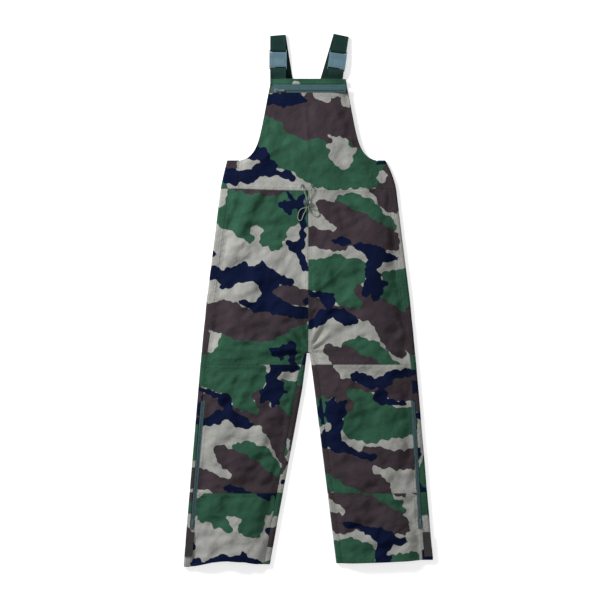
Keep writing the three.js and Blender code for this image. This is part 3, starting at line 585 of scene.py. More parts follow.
class Shader:
    """A node tree that is built step by step."""

    def __init__(self, name, roughness, metallic=0.0, specular=0.5):
        self.material = bpy.data.materials.new(FINISH + name)
        self.material.use_nodes = True
        self.tree = self.material.node_tree
        self.surface = self.tree.nodes["Principled BSDF"]
        self.surface.inputs["Roughness"].default_value = roughness
        self.surface.inputs["Metallic"].default_value = metallic
        self.surface.inputs["Specular IOR Level"].default_value = specular
        self.place = self.tree.nodes.new("ShaderNodeTexCoord").outputs["Object"]

    def put(self, socket, value):
        if isinstance(value, bpy.types.NodeSocket):
            self.tree.links.new(value, socket)
        else:
            socket.default_value = value

    def node(self, kind, inputs=None, **settings):
        made = self.tree.nodes.new("ShaderNode" + kind)
        for key, value in settings.items():
            setattr(made, key, value)
        for key, value in (inputs or {}).items():
            self.put(made.inputs[key], value)
        return made

    def maths(self, operation, first, second=0.0, third=0.0):
        made = self.node("Math", {0: first, 1: second, 2: third}, operation=operation)
        return made.outputs[0]

    def ramp(self, value, low, high, to_low=0.0, to_high=1.0):
        made = self.node("MapRange", {"Value": value, "From Min": low, "From Max": high,
                                      "To Min": to_low, "To Max": to_high})
        return made.outputs["Result"]

    def mixed(self, share, first, second, blend="MIX"):
        made = self.node("Mix", data_type="RGBA", blend_type=blend)
        self.put(made.inputs[0], share)
        self.put(made.inputs[6], first)
        self.put(made.inputs[7], second)
        return made.outputs[2]

    def noise(self, scale, detail=3.0, place=None, roughness=0.55):
        made = self.node("TexNoise", {"Vector": place or self.place, "Scale": scale, "Detail": detail,
                                      "Roughness": roughness})
        return made.outputs["Fac"]

    def cells(self, scale):
        """Distance to the middle of the nearest round cell."""
        made = self.node("TexVoronoi", {"Vector": self.place, "Scale": scale, "Smoothness": 0.25},
                         feature="SMOOTH_F1")
        return made.outputs["Distance"]

    def waves(self, pitch, direction, distortion=0.0, place=None):
        """Ridges across a direction, a pitch in metres apart."""
        made = self.node("TexWave", {"Vector": place or self.place, "Scale": math.pi / 10 / pitch,
                                     "Distortion": distortion}, bands_direction=direction)
        return made.outputs["Fac"]

    def value(self, name):
        return self.node("Attribute", attribute_name=name).outputs["Fac"]

    def point(self, x, y, z=0.0):
        return self.node("CombineXYZ", {0: x, 1: y, 2: z}).outputs[0]

    def bump(self, height, distance, strength=1.0, normal=None):
        inputs = {"Height": height, "Distance": distance, "Strength": strength}
        if normal is not None:
            inputs["Normal"] = normal
        return self.node("Bump", inputs).outputs["Normal"]

    def finish(self, colour, normal=None, roughness=None):
        self.put(self.surface.inputs["Base Color"], colour)
        if normal is not None:
            self.put(self.surface.inputs["Normal"], normal)
        if roughness is not None:
            self.put(self.surface.inputs["Roughness"], roughness)
        return self.material


def colour(name):
    return (*getattr(bpy.context.scene.overtrousers.colours, name), 1.0)


def once(make):
    """The material that make gives, made the first time and then used again."""
    def given():
        found = bpy.data.materials.get(FINISH + make.__name__)
        return found or make()
    return given


def stitches(shader, run, edge, at, pitch=3.2, thread=0.55):
    """Share of thread at a row of stitches that lies at a distance from an edge, in millimetres."""
    near = shader.ramp(shader.maths("ABSOLUTE", shader.maths("SUBTRACT", edge, at)), thread, thread * 0.6)
    dash = shader.maths("FRACT", shader.maths("DIVIDE", run, pitch))
    return shader.maths("MULTIPLY", near, shader.ramp(dash, 0.22, 0.3))


@once
def printed_cloth():
    """Twill with a four-colour print, paler and darker in patches at random, and double-stitched seams."""
    s = Shader("printed_cloth", 0.86, specular=0.02)
    lobes = s.maths("MULTIPLY", s.cells(52), -13.0)
    frayed = s.maths("MULTIPLY", s.noise(520, 2.0), 2.0)
    ragged = s.maths("ADD", s.maths("ADD", lobes, frayed), 4.6)
    shade = colour("sand")
    for layer, ink in (("green", "green"), ("brown", "brown"), ("bleach", "sand"), ("black", "navy")):
        depth = s.maths("ADD", s.value(layer), ragged)
        shade = s.mixed(s.ramp(depth, -0.45, 0.45), shade, colour(ink))
    fade = s.ramp(s.noise(22, 6.0), 0.3, 0.7, 0.78, 1.12)
    grain = s.ramp(s.noise(1500, 2.0), 0.3, 0.7, 0.9, 1.1)
    tone = s.maths("MULTIPLY", fade, grain)
    shade = s.mixed(1.0, shade, s.point(tone, tone, tone), "MULTIPLY")
    weft = s.waves(0.0011, "X", 0.5)
    warp = s.waves(0.0009, "Y", 0.5)
    weave = s.maths("MULTIPLY", weft, warp)
    # Painted shade: the cloth is up to a tenth darker where the weave is low, in the hollows between the
    # threads.
    shade = s.mixed(s.ramp(weave, 0.0, 1.0, 0.1, 0.0), shade, (0.02, 0.025, 0.02, 1.0))
    seam = s.maths("MINIMUM", s.value("side_edge"), s.value("end_edge"))
    side_run, end_run = s.value("run_y"), s.value("run_x")
    thread = s.maths("MAXIMUM", stitches(s, side_run, s.value("side_edge"), 2.4),
                     stitches(s, side_run, s.value("side_edge"), 8.6))
    thread = s.maths("MAXIMUM", thread, stitches(s, end_run, s.value("end_edge"), 2.4))
    thread = s.maths("MAXIMUM", thread, stitches(s, end_run, s.value("end_edge"), 8.6))
    shade = s.mixed(s.maths("MULTIPLY", thread, 0.2), shade, (0.03, 0.05, 0.035, 1.0))
    # Painted shade: the cloth is up to a tenth darker within 1.8 mm of a panel's edge, along each seam.
    shade = s.mixed(s.ramp(seam, 0.0, 1.8, 0.10, 0.0), shade, (0.02, 0.025, 0.02, 1.0))
    felled = s.maths("MULTIPLY", s.ramp(seam, 0.0, 1.5), s.ramp(seam, 9.5, 11.5, 1.0, 0.35))
    pucker = s.maths("MULTIPLY", s.noise(160, 2.0), s.ramp(seam, 4.0, 22.0, 1.0, 0.0))
    normal = s.bump(weave, 0.00012, 0.5)
    normal = s.bump(s.noise(38, 5.0), 0.0060, 0.7, normal)
    normal = s.bump(pucker, 0.0028, 0.7, normal)
    normal = s.bump(felled, 0.0007, 0.6, normal)
    normal = s.bump(thread, 0.0005, 0.8, normal)
    return s.finish(shade, normal, s.ramp(s.noise(300, 2.0), 0.3, 0.7, 0.74, 0.9))


@once
def lining_cloth():
    """Plain dark lining with a fine weave."""
    s = Shader("lining_cloth", 0.9, specular=0.2)
    tone = s.ramp(s.noise(14, 4.0), 0.3, 0.7)
    shade = s.mixed(tone, (0.030, 0.050, 0.034, 1.0), (0.046, 0.072, 0.050, 1.0))
    weave = s.maths("MULTIPLY", s.waves(0.001, "X", 0.4), s.waves(0.001, "Y", 0.4))
    # Painted shade: the lining is up to a quarter darker where its weave is low, between the threads.
    shade = s.mixed(s.ramp(weave, 0.0, 1.0, 0.25, 0.0), shade, (0.012, 0.018, 0.013, 1.0))
    normal = s.bump(s.noise(70, 3.0), 0.0015, 0.5, s.bump(weave, 0.00015, 0.5))
    return s.finish(shade, normal)


@once
def webbing():
    """Ribbed dark green webbing with a thicker selvedge."""
    s = Shader("webbing", 0.8, specular=0.03)
    across, run = s.value("across"), s.value("run")
    place = s.point(s.maths("MULTIPLY", across, MM), s.maths("MULTIPLY", run, MM))
    ribs = s.waves(0.0021, "Y", 1.2, place)
    twill = s.waves(0.0016, "DIAGONAL", 0.6, place)
    weave = s.maths("ADD", s.maths("MULTIPLY", ribs, 0.6), s.maths("MULTIPLY", twill, 0.4))
    edge = s.ramp(s.maths("ABSOLUTE", across), 20.2, 20.8)
    tone = s.ramp(s.noise(40, 3.0), 0.3, 0.7)
    shade = s.mixed(tone, colour("webbing"), tuple(1.35 * c for c in colour("webbing")[:3]) + (1.0,))
    # Painted shade: the webbing is darker where its weave is low, in the hollows between the ribs.
    shade = s.mixed(s.ramp(weave, 0.2, 0.8, 0.45, 0.0), shade, (0.006, 0.012, 0.010, 1.0))
    shade = s.mixed(s.maths("MULTIPLY", edge, 0.35), shade, (0.008, 0.016, 0.013, 1.0))
    stitched = s.maths("MAXIMUM", stitches(s, run, s.maths("ABSOLUTE", across), 19.2, 3.4, 0.5),
                       stitches(s, run, s.maths("ABSOLUTE", across), 14.5, 3.4, 0.3))
    shade = s.mixed(s.maths("MULTIPLY", stitched, 0.3), shade, (0.05, 0.08, 0.07, 1.0))
    normal = s.bump(weave, 0.0004, 0.8)
    normal = s.bump(edge, 0.0004, 0.8, normal)
    s.surface.inputs["Sheen Weight"].default_value = 0.04
    return s.finish(shade, normal)


@once
def zip_tape():
    """Woven teal tape with long ribs beside the teeth."""
    s = Shader("zip_tape", 0.8, specular=0.25)
    across, run = s.value("across"), s.value("run")
    place = s.point(s.maths("MULTIPLY", across, MM), s.maths("MULTIPLY", run, MM))
    ribs = s.waves(0.0012, "X", 0.2, place)
    picks = s.waves(0.0008, "Y", 0.2, place)
    weave = s.maths("MULTIPLY", ribs, picks)
    tone = s.ramp(s.noise(60, 3.0), 0.3, 0.7)
    shade = s.mixed(tone, colour("zip_tape"), tuple(1.25 * c for c in colour("zip_tape")[:3]) + (1.0,))
    # Painted shade: the tape is darker where its weave is low, between the threads.
    shade = s.mixed(s.ramp(weave, 0.0, 1.0, 0.4, 0.0), shade, (0.015, 0.03, 0.032, 1.0))
    sewn = stitches(s, run, across, 4.6, 3.0, 0.4)
    shade = s.mixed(s.maths("MULTIPLY", sewn, 0.6), shade, (0.02, 0.04, 0.04, 1.0))
    normal = s.bump(s.noise(90, 3.0), 0.0012, 0.5, s.bump(weave, 0.0003, 0.7))
    return s.finish(shade, normal)


def metal(name, base, dark, roughness):
    s = Shader(name, roughness, 0.9)
    worn = s.ramp(s.noise(260, 4.0), 0.35, 0.75)
    shade = s.mixed(worn, base, dark)
    scratched = s.noise(900, 3.0)
    normal = s.bump(scratched, 0.00008, 0.5)
    return s.finish(shade, normal, s.ramp(s.noise(400, 3.0), 0.3, 0.7, roughness, roughness + 0.2))


@once
def zip_metal():
    return metal("zip_metal", (0.20, 0.25, 0.27, 1.0), (0.10, 0.14, 0.15, 1.0), 0.4)


@once
def zip_teeth():
    return metal("zip_teeth", (0.12, 0.17, 0.18, 1.0), (0.05, 0.08, 0.09, 1.0), 0.4)


@once
def spring_steel():
    return metal("spring_steel", (0.55, 0.56, 0.57, 1.0), (0.32, 0.33, 0.34, 1.0), 0.25)


def plastic(name, base, roughness):
    """Moulded plastic with a fine spark texture and pale scuffs."""
    s = Shader(name, roughness, specular=0.45)
    tone = s.ramp(s.noise(35, 3.0), 0.3, 0.7, 0.88, 1.12)
    shade = s.mixed(1.0, base, s.point(tone, tone, tone), "MULTIPLY")
    scuffs = s.ramp(s.noise(480, 5.0, roughness=0.7), 0.6, 0.68, 0.0, 0.25)
    shade = s.mixed(scuffs, shade, tuple(min(1.0, 1.6 * c + 0.03) for c in base[:3]) + (1.0,))
    normal = s.bump(s.noise(1600, 2.0), 0.00006, 0.6)
    return s.finish(shade, normal, s.ramp(s.noise(120, 4.0), 0.3, 0.7, roughness - 0.06, roughness + 0.1))


@once
def buckle_plastic():
    return plastic("buckle_plastic", colour("buckle"), 0.42)


@once
def lock_plastic():
    return plastic("lock_plastic", colour("lock"), 0.38)


@once
def button_plastic():
    return plastic("button_plastic", (0.22, 0.30, 0.34, 1.0), 0.3)


@once
def cord_braid():
    """Braided cord: two sets of strands that cross."""
    s = Shader("cord_braid", 0.75, specular=0.3)
    strands = s.maths("MAXIMUM", s.waves(0.0012, "DIAGONAL", 1.5), s.waves(0.0011, "X", 2.0))
    tone = s.ramp(s.noise(180, 3.0), 0.3, 0.7)
    shade = s.mixed(tone, colour("cord"), tuple(0.7 * c for c in colour("cord")[:3]) + (1.0,))
    # Painted shade: the cord is darker where the strands are low, in the hollows between them.
    shade = s.mixed(s.ramp(strands, 0.2, 0.9, 0.5, 0.0), shade, (0.05, 0.06, 0.045, 1.0))
    return s.finish(shade, s.bump(strands, 0.0003, 0.8))


@once
def hook_tape():
    """Dark hook-and-loop tape with a dense pile."""
    s = Shader("hook_tape", 0.95, specular=0.15)
    hooks = s.noise(1300, 2.0)
    # Painted shade: the tape is darker where the pile is low, between the hooks.
    shade = s.mixed(s.ramp(hooks, 0.35, 0.65), (0.010, 0.010, 0.011, 1.0), (0.040, 0.037, 0.038, 1.0))
    tone = s.ramp(s.noise(50, 3.0), 0.3, 0.7, 0.0, 0.35)
    shade = s.mixed(tone, shade, (0.045, 0.036, 0.034, 1.0))
    return s.finish(shade, s.bump(hooks, 0.0006, 0.9))


# ---- Settings ----


def length(name, description, default, low=0.0):
    return bpy.props.FloatProperty(name=name, description=description, default=default, min=low,
                                   unit="LENGTH", subtype="DISTANCE", precision=4)


def tint(name, description, default):
    return bpy.props.FloatVectorProperty(name=name, description=description, default=default, min=0.0,
                                         max=1.0, size=3, subtype="COLOR")


class OVERTROUSERS_PG_cloth(bpy.types.PropertyGroup):
    mesh_step: length("Mesh step", "Distance between the points of a cloth panel", 0.0045, 0.002)
    swell: length("Swell", "Height of the broad swells of the laid cloth", 0.0110)
    fold: length("Folds", "Height of the long soft folds", 0.0140)
    crumple: length("Crumples", "Height of the small crumples", 0.0034)
    crease: length("Bib crease", "Height of the pressed crease down the bib", 0.0030)
    crotch: length("Crotch creases", "Height of the creases where the legs part", 0.0050)


class OVERTROUSERS_PG_colours(bpy.types.PropertyGroup):
    sand: tint("Sand", "Ground colour of the print", (0.25, 0.25, 0.235))
    green: tint("Green", "Green of the print", (0.020, 0.066, 0.040))
    brown: tint("Brown", "Brown of the print", (0.034, 0.025, 0.030))
    navy: tint("Navy", "Darkest colour of the print", (0.0015, 0.004, 0.022))
    webbing: tint("Webbing", "Shoulder straps", (0.006, 0.020, 0.017))
    zip_tape: tint("Zip tape", "Woven tape of the zips", (0.030, 0.080, 0.090))
    buckle: tint("Buckle", "Side-release buckles", (0.066, 0.122, 0.155))
    lock: tint("Cord lock", "Barrel of the cord lock", (0.03, 0.05, 0.05))
    cord: tint("Cord", "Waist drawcord", (0.20, 0.24, 0.18))
    floor: tint("Floor", "Plain floor under the garment", (0.60, 0.60, 0.60))


class OVERTROUSERS_PG_stage(bpy.types.PropertyGroup):
    camera_height: length("Camera height", "Height of the camera over the cloth", 4.0, 1.0)
    view_width: length("View width", "Width of the picture at the cloth", 1.716, 0.1)
    floor_size: length("Floor size", "Side of the square floor", 14.0, 2.0)
    floor_glow: bpy.props.FloatProperty(name="Floor glow", description="Light that the floor gives by itself",
                                        default=0.5, min=0.0, max=1.0)


class OVERTROUSERS_PG_settings(bpy.types.PropertyGroup):
    cloth: bpy.props.PointerProperty(type=OVERTROUSERS_PG_cloth, name="Cloth",
                                     description="Shape of the laid cloth")
    colours: bpy.props.PointerProperty(type=OVERTROUSERS_PG_colours, name="Colours",
                                       description="Colours of the materials")
    stage: bpy.props.PointerProperty(type=OVERTROUSERS_PG_stage, name="Stage",
                                     description="Camera and floor")


def settings():
    return bpy.context.scene.overtrousers


# ---- Stage and camera ----


def add_light(name, energy, size, place, target):
    data = bpy.data.lights.new(name, "AREA")
    data.shape = "DISK"
    data.size = size
    data.energy = energy
    light = new_object(name, data)
    light.location = place
    light.rotation_euler = (Vector(target) - Vector(place)).to_track_quat("-Z", "Y").to_euler()


class OVERTROUSERS_OT_stage(bpy.types.Operator):
    """Adds the camera, a pale floor and soft studio light"""

    bl_idname = "overtrousers.stage"
    bl_label = "Stage"

    def execute(self, context):
        stage = settings().stage
        camera = new_object("camera", bpy.data.cameras.new("camera"))
        middle = (CAD_BOX[0] + CAD_BOX[1]) / 2
        over = CLOTH_TOP_Z * MM + stage.camera_height
        camera.location = (middle.x - 0.024, middle.y - 0.006, over)
        camera.data.sensor_width = 36.0
        camera.data.lens = camera.data.sensor_width * stage.camera_height / stage.view_width
        camera.data.clip_end = 50.0
        context.scene.camera = camera
        mesh, _, _ = grid_mesh("floor", 8, 8, lambda u, v: np.stack(
            [(u - 0.5) * stage.floor_size / MM, (v - 0.5) * stage.floor_size / MM - FRAME_Y, 0 * u], 1))
        floor = new_object("floor", mesh)
        shader = Shader("floor", 0.6, specular=0.2)
        tone = shader.ramp(shader.noise(2.0, 3.0), 0.3, 0.7, 0.99, 1.0)
        paint = shader.mixed(1.0, colour("floor"), shader.point(tone, tone, tone), "MULTIPLY")
        shader.surface.inputs["Emission Color"].default_value = (1.0, 1.0, 1.0, 1.0)
        shader.surface.inputs["Emission Strength"].default_value = stage.floor_glow
        mesh.materials.append(shader.finish(paint, shader.bump(shader.noise(40, 2.0), 0.0002, 0.2)))
        add_light("key light", 235, 0.9, (-2.4, 2.1, 1.7), (0, 0, 0))
        add_light("fill light", 28, 3.0, (2.4, -0.6, 2.6), (0, 0, 0))
        add_light("foot light", 18, 2.6, (-0.4, -2.8, 2.2), (0, 0, 0))
        context.scene.view_settings.view_transform = "Standard"
        world = bpy.data.worlds.new("studio")
        world.use_nodes = True
        world.node_tree.nodes["Background"].inputs["Color"].default_value = (1.0, 1.0, 1.0, 1.0)
        world.node_tree.nodes["Background"].inputs["Strength"].default_value = 0.34
        context.scene.world = world
        return {"FINISHED"}


# ---- Drawcord and cord lock ----

CORD_DIAMETER = 2.6
# The cord's route: across, along, and its centre's height over the cloth at the waist.
CORD_ROUTE = (
    (-17, 329, -0.6), (-17, 329, 2), (-16.9, 327.8, 5.6), (-16, 324.4, 7.8), (-12.8, 315.4, 7.9),
    (-8.6, 304.6, 6.9), (-6, 296, 6.4), (-5.6, 288, 6.4), (-5.6, 272, 6.4), (-5.9, 265.4, 6.1),
    (-8.2, 257.4, 4), (-12.4, 249.4, 1.9), (-16, 241, 1.5), (-18.3, 234, 1.5), (-22.6, 230, 1.5),
    (-28, 231.6, 1.5), (-30.2, 238.5, 1.5), (-29, 248, 1.5), (-25.4, 258, 1.5), (-17.6, 264.6, 1.5),
    (-8, 266.4, 1.5), (2, 265.6, 1.5), (12, 262.8, 1.5), (21.6, 259.6, 1.5), (29, 254.6, 1.5),
    (31.6, 247.6, 1.5), (27, 242, 1.5), (19.6, 242.4, 1.5), (11.6, 248, 1.6), (5.4, 255, 3.2),
    (0.6, 263.4, 5.7), (-0.4, 272, 6.4), (-0.4, 288, 6.4), (0, 296, 6.4), (2.6, 304.6, 6.9),
    (6.8, 315.4, 7.9), (10, 324.4, 7.8), (10.9, 327.8, 5.6), (11, 329, 2), (11, 329, -0.6),
)


def smooth_route(points, steps=5):
    """Points along one smooth curve through the given ones."""
    route = [Vector(p) for p in points]
    ends = [route[0] * 2 - route[1], *route, route[-1] * 2 - route[-2]]
    made = []
    for a, b, c, d in zip(ends, ends[1:], ends[2:], ends[3:]):
        for i in range(steps):
            t = i / steps
            made.append(0.5 * (2 * b + (c - a) * t + (2 * a - 5 * b + 4 * c - d) * t * t
                               + (3 * b - a - 3 * c + d) * t**3))
    return [*made, route[-1]]


class OVERTROUSERS_OT_drawcord(bpy.types.Operator):
    """Adds the braided waist drawcord, from one eyelet round to the other"""

    bl_idname = "overtrousers.drawcord"
    bl_label = "Drawcord"

    def execute(self, context):
        lifted = [(x, y, CLOTH_TOP_Z + above) for x, y, above in CORD_ROUTE]
        route = [Vector(p) for p in to_frame(smooth_route(lifted))]
        curve = bpy.data.curves.new("waist_cord", "CURVE")
        curve.dimensions = "3D"
        spline = curve.splines.new("POLY")
        spline.points.add(len(route) - 1)
        for point, place in zip(spline.points, route):
            point.co = (*place, 1.0)
        spline.use_smooth = True
        curve.bevel_depth = CORD_DIAMETER / 2 * MM
        curve.bevel_resolution = 3
        curve.use_fill_caps = True
        curve.materials.append(cord_braid())
        cord = new_object("waist_cord", curve)
        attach(cord, "root")
        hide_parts("drawcord")
        return {"FINISHED"}


class OVERTROUSERS_OT_cord_lock(bpy.types.Operator):
    """Adds the sprung cord lock and the two eyelets"""

    bl_idname = "overtrousers.cord_lock"
    bl_label = "Cord lock"

    def execute(self, context):
        softened("lock_barrel", "cord_lock_body", lock_plastic(), 0.35, "cord_lock")
        softened("lock_button", "cord_lock_plunger", button_plastic(), 0.3, "cord_lock_button")
        self.coil()
        for side, _ in SIDES:
            finish_node(f"eyelet_{side}", zip_teeth())
        return {"FINISHED"}

    @staticmethod
    def coil():
        """The spring: a copy of the frame's coil, finished in spring steel."""
        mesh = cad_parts["cord_lock_spring"].data.copy()
        mesh.materials.clear()
        mesh.materials.append(spring_steel())
        piece = new_object("lock_coil", mesh)
        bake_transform(piece)
        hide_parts("cord_lock_spring")


def finish_node(node, material):
    """Gives a piece of the frame its finished material."""
    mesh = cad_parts[node].data
    mesh.materials.clear()
    mesh.materials.append(material)


# ---- Legs, seat and waist ----

# How far each hem hangs past its straight line: (distance from the middle, drop) pairs.
HEM_DROP = {
    "left": ((108, 5), (150, 3), (184, -3), (230, -6), (275, -2), (315, 7), (342, 12), (358, 12)),
    "right": ((80, 2), (210, -2), (330, -8), (358, -8)),
}


def hem_shift(side, distance, y):
    return -along(HEM_DROP[side], distance) * np.clip((HEM_Y + 120 - y) / 120, 0, 1)


LEG_ZIP_LOW_Y, LEG_ZIP_HIGH_Y = -655, -284
ZIP_SLOT = 4.6
ZIP_SLOT_EASE = 6


def waist_shift(distance, y):
    """Lifts the seam under the channel a little towards the sides."""
    low = box_mm("waist_channel")[0].y
    return 6 * np.clip(distance / TAB_SEAM_X, 0, 1) ** 2 * np.clip(1 - np.abs(y - low) / 26, 0, 1)


def zip_slot(y):
    """How far each cloth edge stands back from the leg zip."""
    ends = np.minimum(y - LEG_ZIP_LOW_Y, LEG_ZIP_HIGH_Y - y)
    return ZIP_SLOT * np.clip(ends / ZIP_SLOT_EASE, 0, 1)


def front_place(side, sign, y0, y1):
    """Places a front panel between its inseam and its side seam."""
    def place(across, up):
        y = y0 + (y1 - y0) * up
        inseam = np.where(y > CROTCH_Y, SEAM_GAP, inner_x(side, y) + inseam_wrap(y) + SEAM_GAP)
        seam = seam_x(side, y) - SEAM_GAP - zip_slot(y)
        share = across if sign > 0 else 1 - across
        x = sign * (inseam + (seam - inseam) * share)
        z = front_height(side, x, y) + CLOTH_WALL
        y = y + hem_shift(side, np.abs(x), y) + waist_shift(np.abs(x), y)
        return np.stack([x, y, z], 1), np.stack([x, y], 1)
    return place


def back_place(side, sign, y0, y1, wrapped):
    """Places a back panel: over the fold at the side, along the floor and, on a leg, over the inner fold."""
    def place(across, up):
        y = y0 + (y1 - y0) * up
        share = across if sign > 0 else 1 - across
        outer, inner, seam = outer_x(y), inner_x(side, y), seam_x(side, y) + SEAM_GAP + zip_slot(y)
        turn = math.pi * EDGE_ROLL
        top = outer - EDGE_ROLL - seam
        start = inner + EDGE_ROLL if wrapped else SEAM_GAP + 0 * y
        floor = outer - EDGE_ROLL - start
        wrap = inseam_wrap(y) - EDGE_ROLL - SEAM_GAP if wrapped else 0 * y
        whole = top + turn + floor + (turn + wrap if wrapped else 0)
        run = share * whole
        angle = np.clip((run - top) / turn, 0, 1) * math.pi
        x = seam + np.minimum(run, top) + EDGE_ROLL * np.sin(angle)
        z = EDGE_ROLL + EDGE_ROLL * np.cos(angle)
        along_floor = np.clip(run - top - turn, 0, floor)
        x = x - along_floor
        if wrapped:
            after = run - top - turn - floor
            second = np.clip(after / turn, 0, 1) * math.pi
            x = x - EDGE_ROLL * np.sin(second) + np.clip(after - turn, 0, None)
            z = z + EDGE_ROLL - EDGE_ROLL * np.cos(second)
        cloth = np.stack([sign * (seam + run), y], 1)
        return np.stack([sign * x, y + hem_shift(side, x, y), z], 1), cloth
    return place


class OVERTROUSERS_OT_leg_fronts(bpy.types.Operator):
    """Adds the front panels of both legs: thigh, knee and shin"""

    bl_idname = "overtrousers.leg_fronts"
    bl_label = "Leg fronts"

    def execute(self, context):
        panels = (
            ("thigh", KNEE_Y + SEAM_GAP, box_mm("waist_channel")[0].y - SEAM_GAP, 2.0),
            ("knee", SHIN_Y + SEAM_GAP, KNEE_Y - SEAM_GAP, 14.0),
            ("shin", HEM_Y, SHIN_Y - SEAM_GAP, 23.0),
        )
        for side, sign in SIDES:
            for part, low, high, seed in panels:
                sew(f"cloth_{part}_{side}", [f"{part}_front_{side}"], f"{part}_{side}", (285, high - low),
                    front_place(side, sign, low, high), seed=seed + sign)
        return {"FINISHED"}


class OVERTROUSERS_OT_backs(bpy.types.Operator):
    """Adds the seat and leg backs, which wrap round to the front seams"""

    bl_idname = "overtrousers.backs"
    bl_label = "Backs"

    def execute(self, context):
        for side, sign in SIDES:
            cuts = ((HEM_Y, f"shin_{side}"), (SHIN_Y, f"knee_{side}"), (KNEE_Y, f"thigh_{side}"))
            sew(f"cloth_seat_{side}", [f"seat_back_{side}"], cuts, (330, WAIST_Y - CROTCH_Y),
                back_place(side, sign, CROTCH_Y + GAP / 2, WAIST_Y - GAP / 2, False),
                folds=0, plain_ends=(1,))
            sew(f"cloth_calf_{side}", [f"leg_back_{side}"], cuts, (360, CROTCH_Y - HEM_Y),
                back_place(side, sign, HEM_Y, CROTCH_Y - GAP / 2, True), folds=0)
        return {"FINISHED"}


# How far each elastic side panel is drawn in at its top.
TAB_DRAWN_IN = {"left": 3, "right": 15}


def tab_place(side, sign):
    """Places an elastic side panel, folded round from the front to the yoke."""
    def place(across, up):
        y = WAIST_Y + GAP / 2 + (ARMHOLE_Y - WAIST_Y - GAP / 2) * up
        share = across if sign > 0 else 1 - across
        outer = outer_x(y) - TAB_DRAWN_IN[side] * ((y - WAIST_Y) / (ARMHOLE_Y - WAIST_Y)) ** 2
        seam = TAB_SEAM_X + SEAM_GAP
        top = outer - EDGE_ROLL - seam
        turn = math.pi * EDGE_ROLL
        run = share * (2 * top + turn)
        angle = np.clip((run - top) / turn, 0, 1) * math.pi
        x = seam + np.minimum(run, top) + EDGE_ROLL * np.sin(angle) - np.clip(run - top - turn, 0, None)
        z = EDGE_ROLL + EDGE_ROLL * np.cos(angle)
        gathers = 0.35 * np.sin(y * 2 * math.pi / 9) * np.sin(math.pi * np.clip(up, 0, 1))
        x = x + gathers * np.sin(angle)
        return np.stack([sign * x, y, z], 1), np.stack([sign * (seam + run), y], 1)
    return place


def band_place(y0, y1, half, under, lift=0.0):
    """Places a panel that spans the garment between two heights along it."""
    def place(across, up):
        y = y0 + (y1 - y0) * up
        x = (2 * across - 1) * half(y)
        return np.stack([x, y, under(x, y) + lift], 1), np.stack([x, y], 1)
    return place


def channel_place(low, high):
    """Places the drawcord channel, thicker and gathered round the eyelets and smooth at the sides."""
    def place(across, up):
        y = low + (high - low) * up
        x = (2 * across - 1) * TAB_SEAM_X
        near = np.exp(-((x / 80) ** 2)) * np.sin(math.pi * up)
        shirr = 0.45 * np.sin(x * 2 * math.pi / 7.5) * near * calm_pin(x)
        z = front_height("left", x, low + 0 * y) + CLOTH_WALL + (CHANNEL_WALL - CLOTH_WALL) * near + shirr
        return np.stack([x, y + waist_shift(np.abs(x), y), z], 1), np.stack([x, y], 1)
    return place


def calm_pin(x):
    """Keeps the shirring flat under the eyelets."""
    return np.clip((np.minimum(np.abs(x + 17), np.abs(x - 11)) - 5) / 4, 0, 1)


class OVERTROUSERS_OT_waist(bpy.types.Operator):
    """Adds the drawcord channel, the elastic side panels and the back yoke"""

    bl_idname = "overtrousers.waist"
    bl_label = "Waist"

    def execute(self, context):
        low, high = (corner.y for corner in box_mm("waist_channel"))
        sew("cloth_channel", ["waist_channel"], "bib", (2 * TAB_SEAM_X, 2 * (high - low)),
            channel_place(low, high), folds=0, plain_ends=(1,))
        for side, sign in SIDES:
            sew(f"cloth_tab_{side}", [f"side_panel_{side}"], "bib", (110, ARMHOLE_Y - WAIST_Y),
                tab_place(side, sign), folds=0)
        sew("cloth_yoke", ["back_yoke"], "yoke", (2 * TAB_SEAM_X, YOKE_TOP_Y - WAIST_Y), yoke_place, folds=0)
        return {"FINISHED"}


def yoke_place(across, up):
    y = WAIST_Y + GAP / 2 + (YOKE_TOP_Y - WAIST_Y - GAP / 2) * up
    left = along(((WAIST_Y, -TAB_SEAM_X), (ARMHOLE_Y, -TAB_SEAM_X), (YOKE_TOP_Y, -90)), y)
    right = along(((WAIST_Y, TAB_SEAM_X), (ARMHOLE_Y, TAB_SEAM_X), (YOKE_TOP_Y, 70)), y)
    x = right + (left - right) * across
    return np.stack([x, y, 0 * x], 1), np.stack([x, y], 1)


# ---- Bib ----


class OVERTROUSERS_OT_bib(bpy.types.Operator):
    """Adds the bib: its front, the band above the zip, and the pocket lining"""

    bl_idname = "overtrousers.bib"
    bl_label = "Bib"

    def execute(self, context):
        low = box_mm("waist_channel")[1].y + SEAM_GAP
        zip_low = box_mm("bib_front")[1].y
        sew("cloth_bib", ["bib_front"], "bib", (2 * TAB_SEAM_X, zip_low - low),
            band_place(low, zip_low, bib_x, lambda x, y: front_height("left", x, y), CLOTH_WALL), seed=31.0,
            folds=0.55, plain_ends=(0,))
        sew("cloth_band", ["bib_top_band"], "bib", (2 * BIB_TOP_HALF, BAND_DEPTH),
            band_place(BIB_TOP_Y - BAND_DEPTH, BIB_TOP_Y, bib_x,
                       lambda x, y: front_height("left", x, y), CLOTH_WALL), folds=0)
        drop = POCKET_DEPTH + LINING_WALL
        mesh, _, _ = grid_mesh("cloth_lining", 60, 54, lambda u, v: band_place(
            low, BIB_TOP_Y, bib_x, lambda x, y: front_height("left", x, y) - drop, LINING_WALL)(u, v)[0])
        lining = new_object("cloth_lining", mesh)
        mesh.materials.append(lining_cloth())
        wall_of(lining, LINING_WALL)
        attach(lining, "root")
        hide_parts("bib_lining")
        return {"FINISHED"}


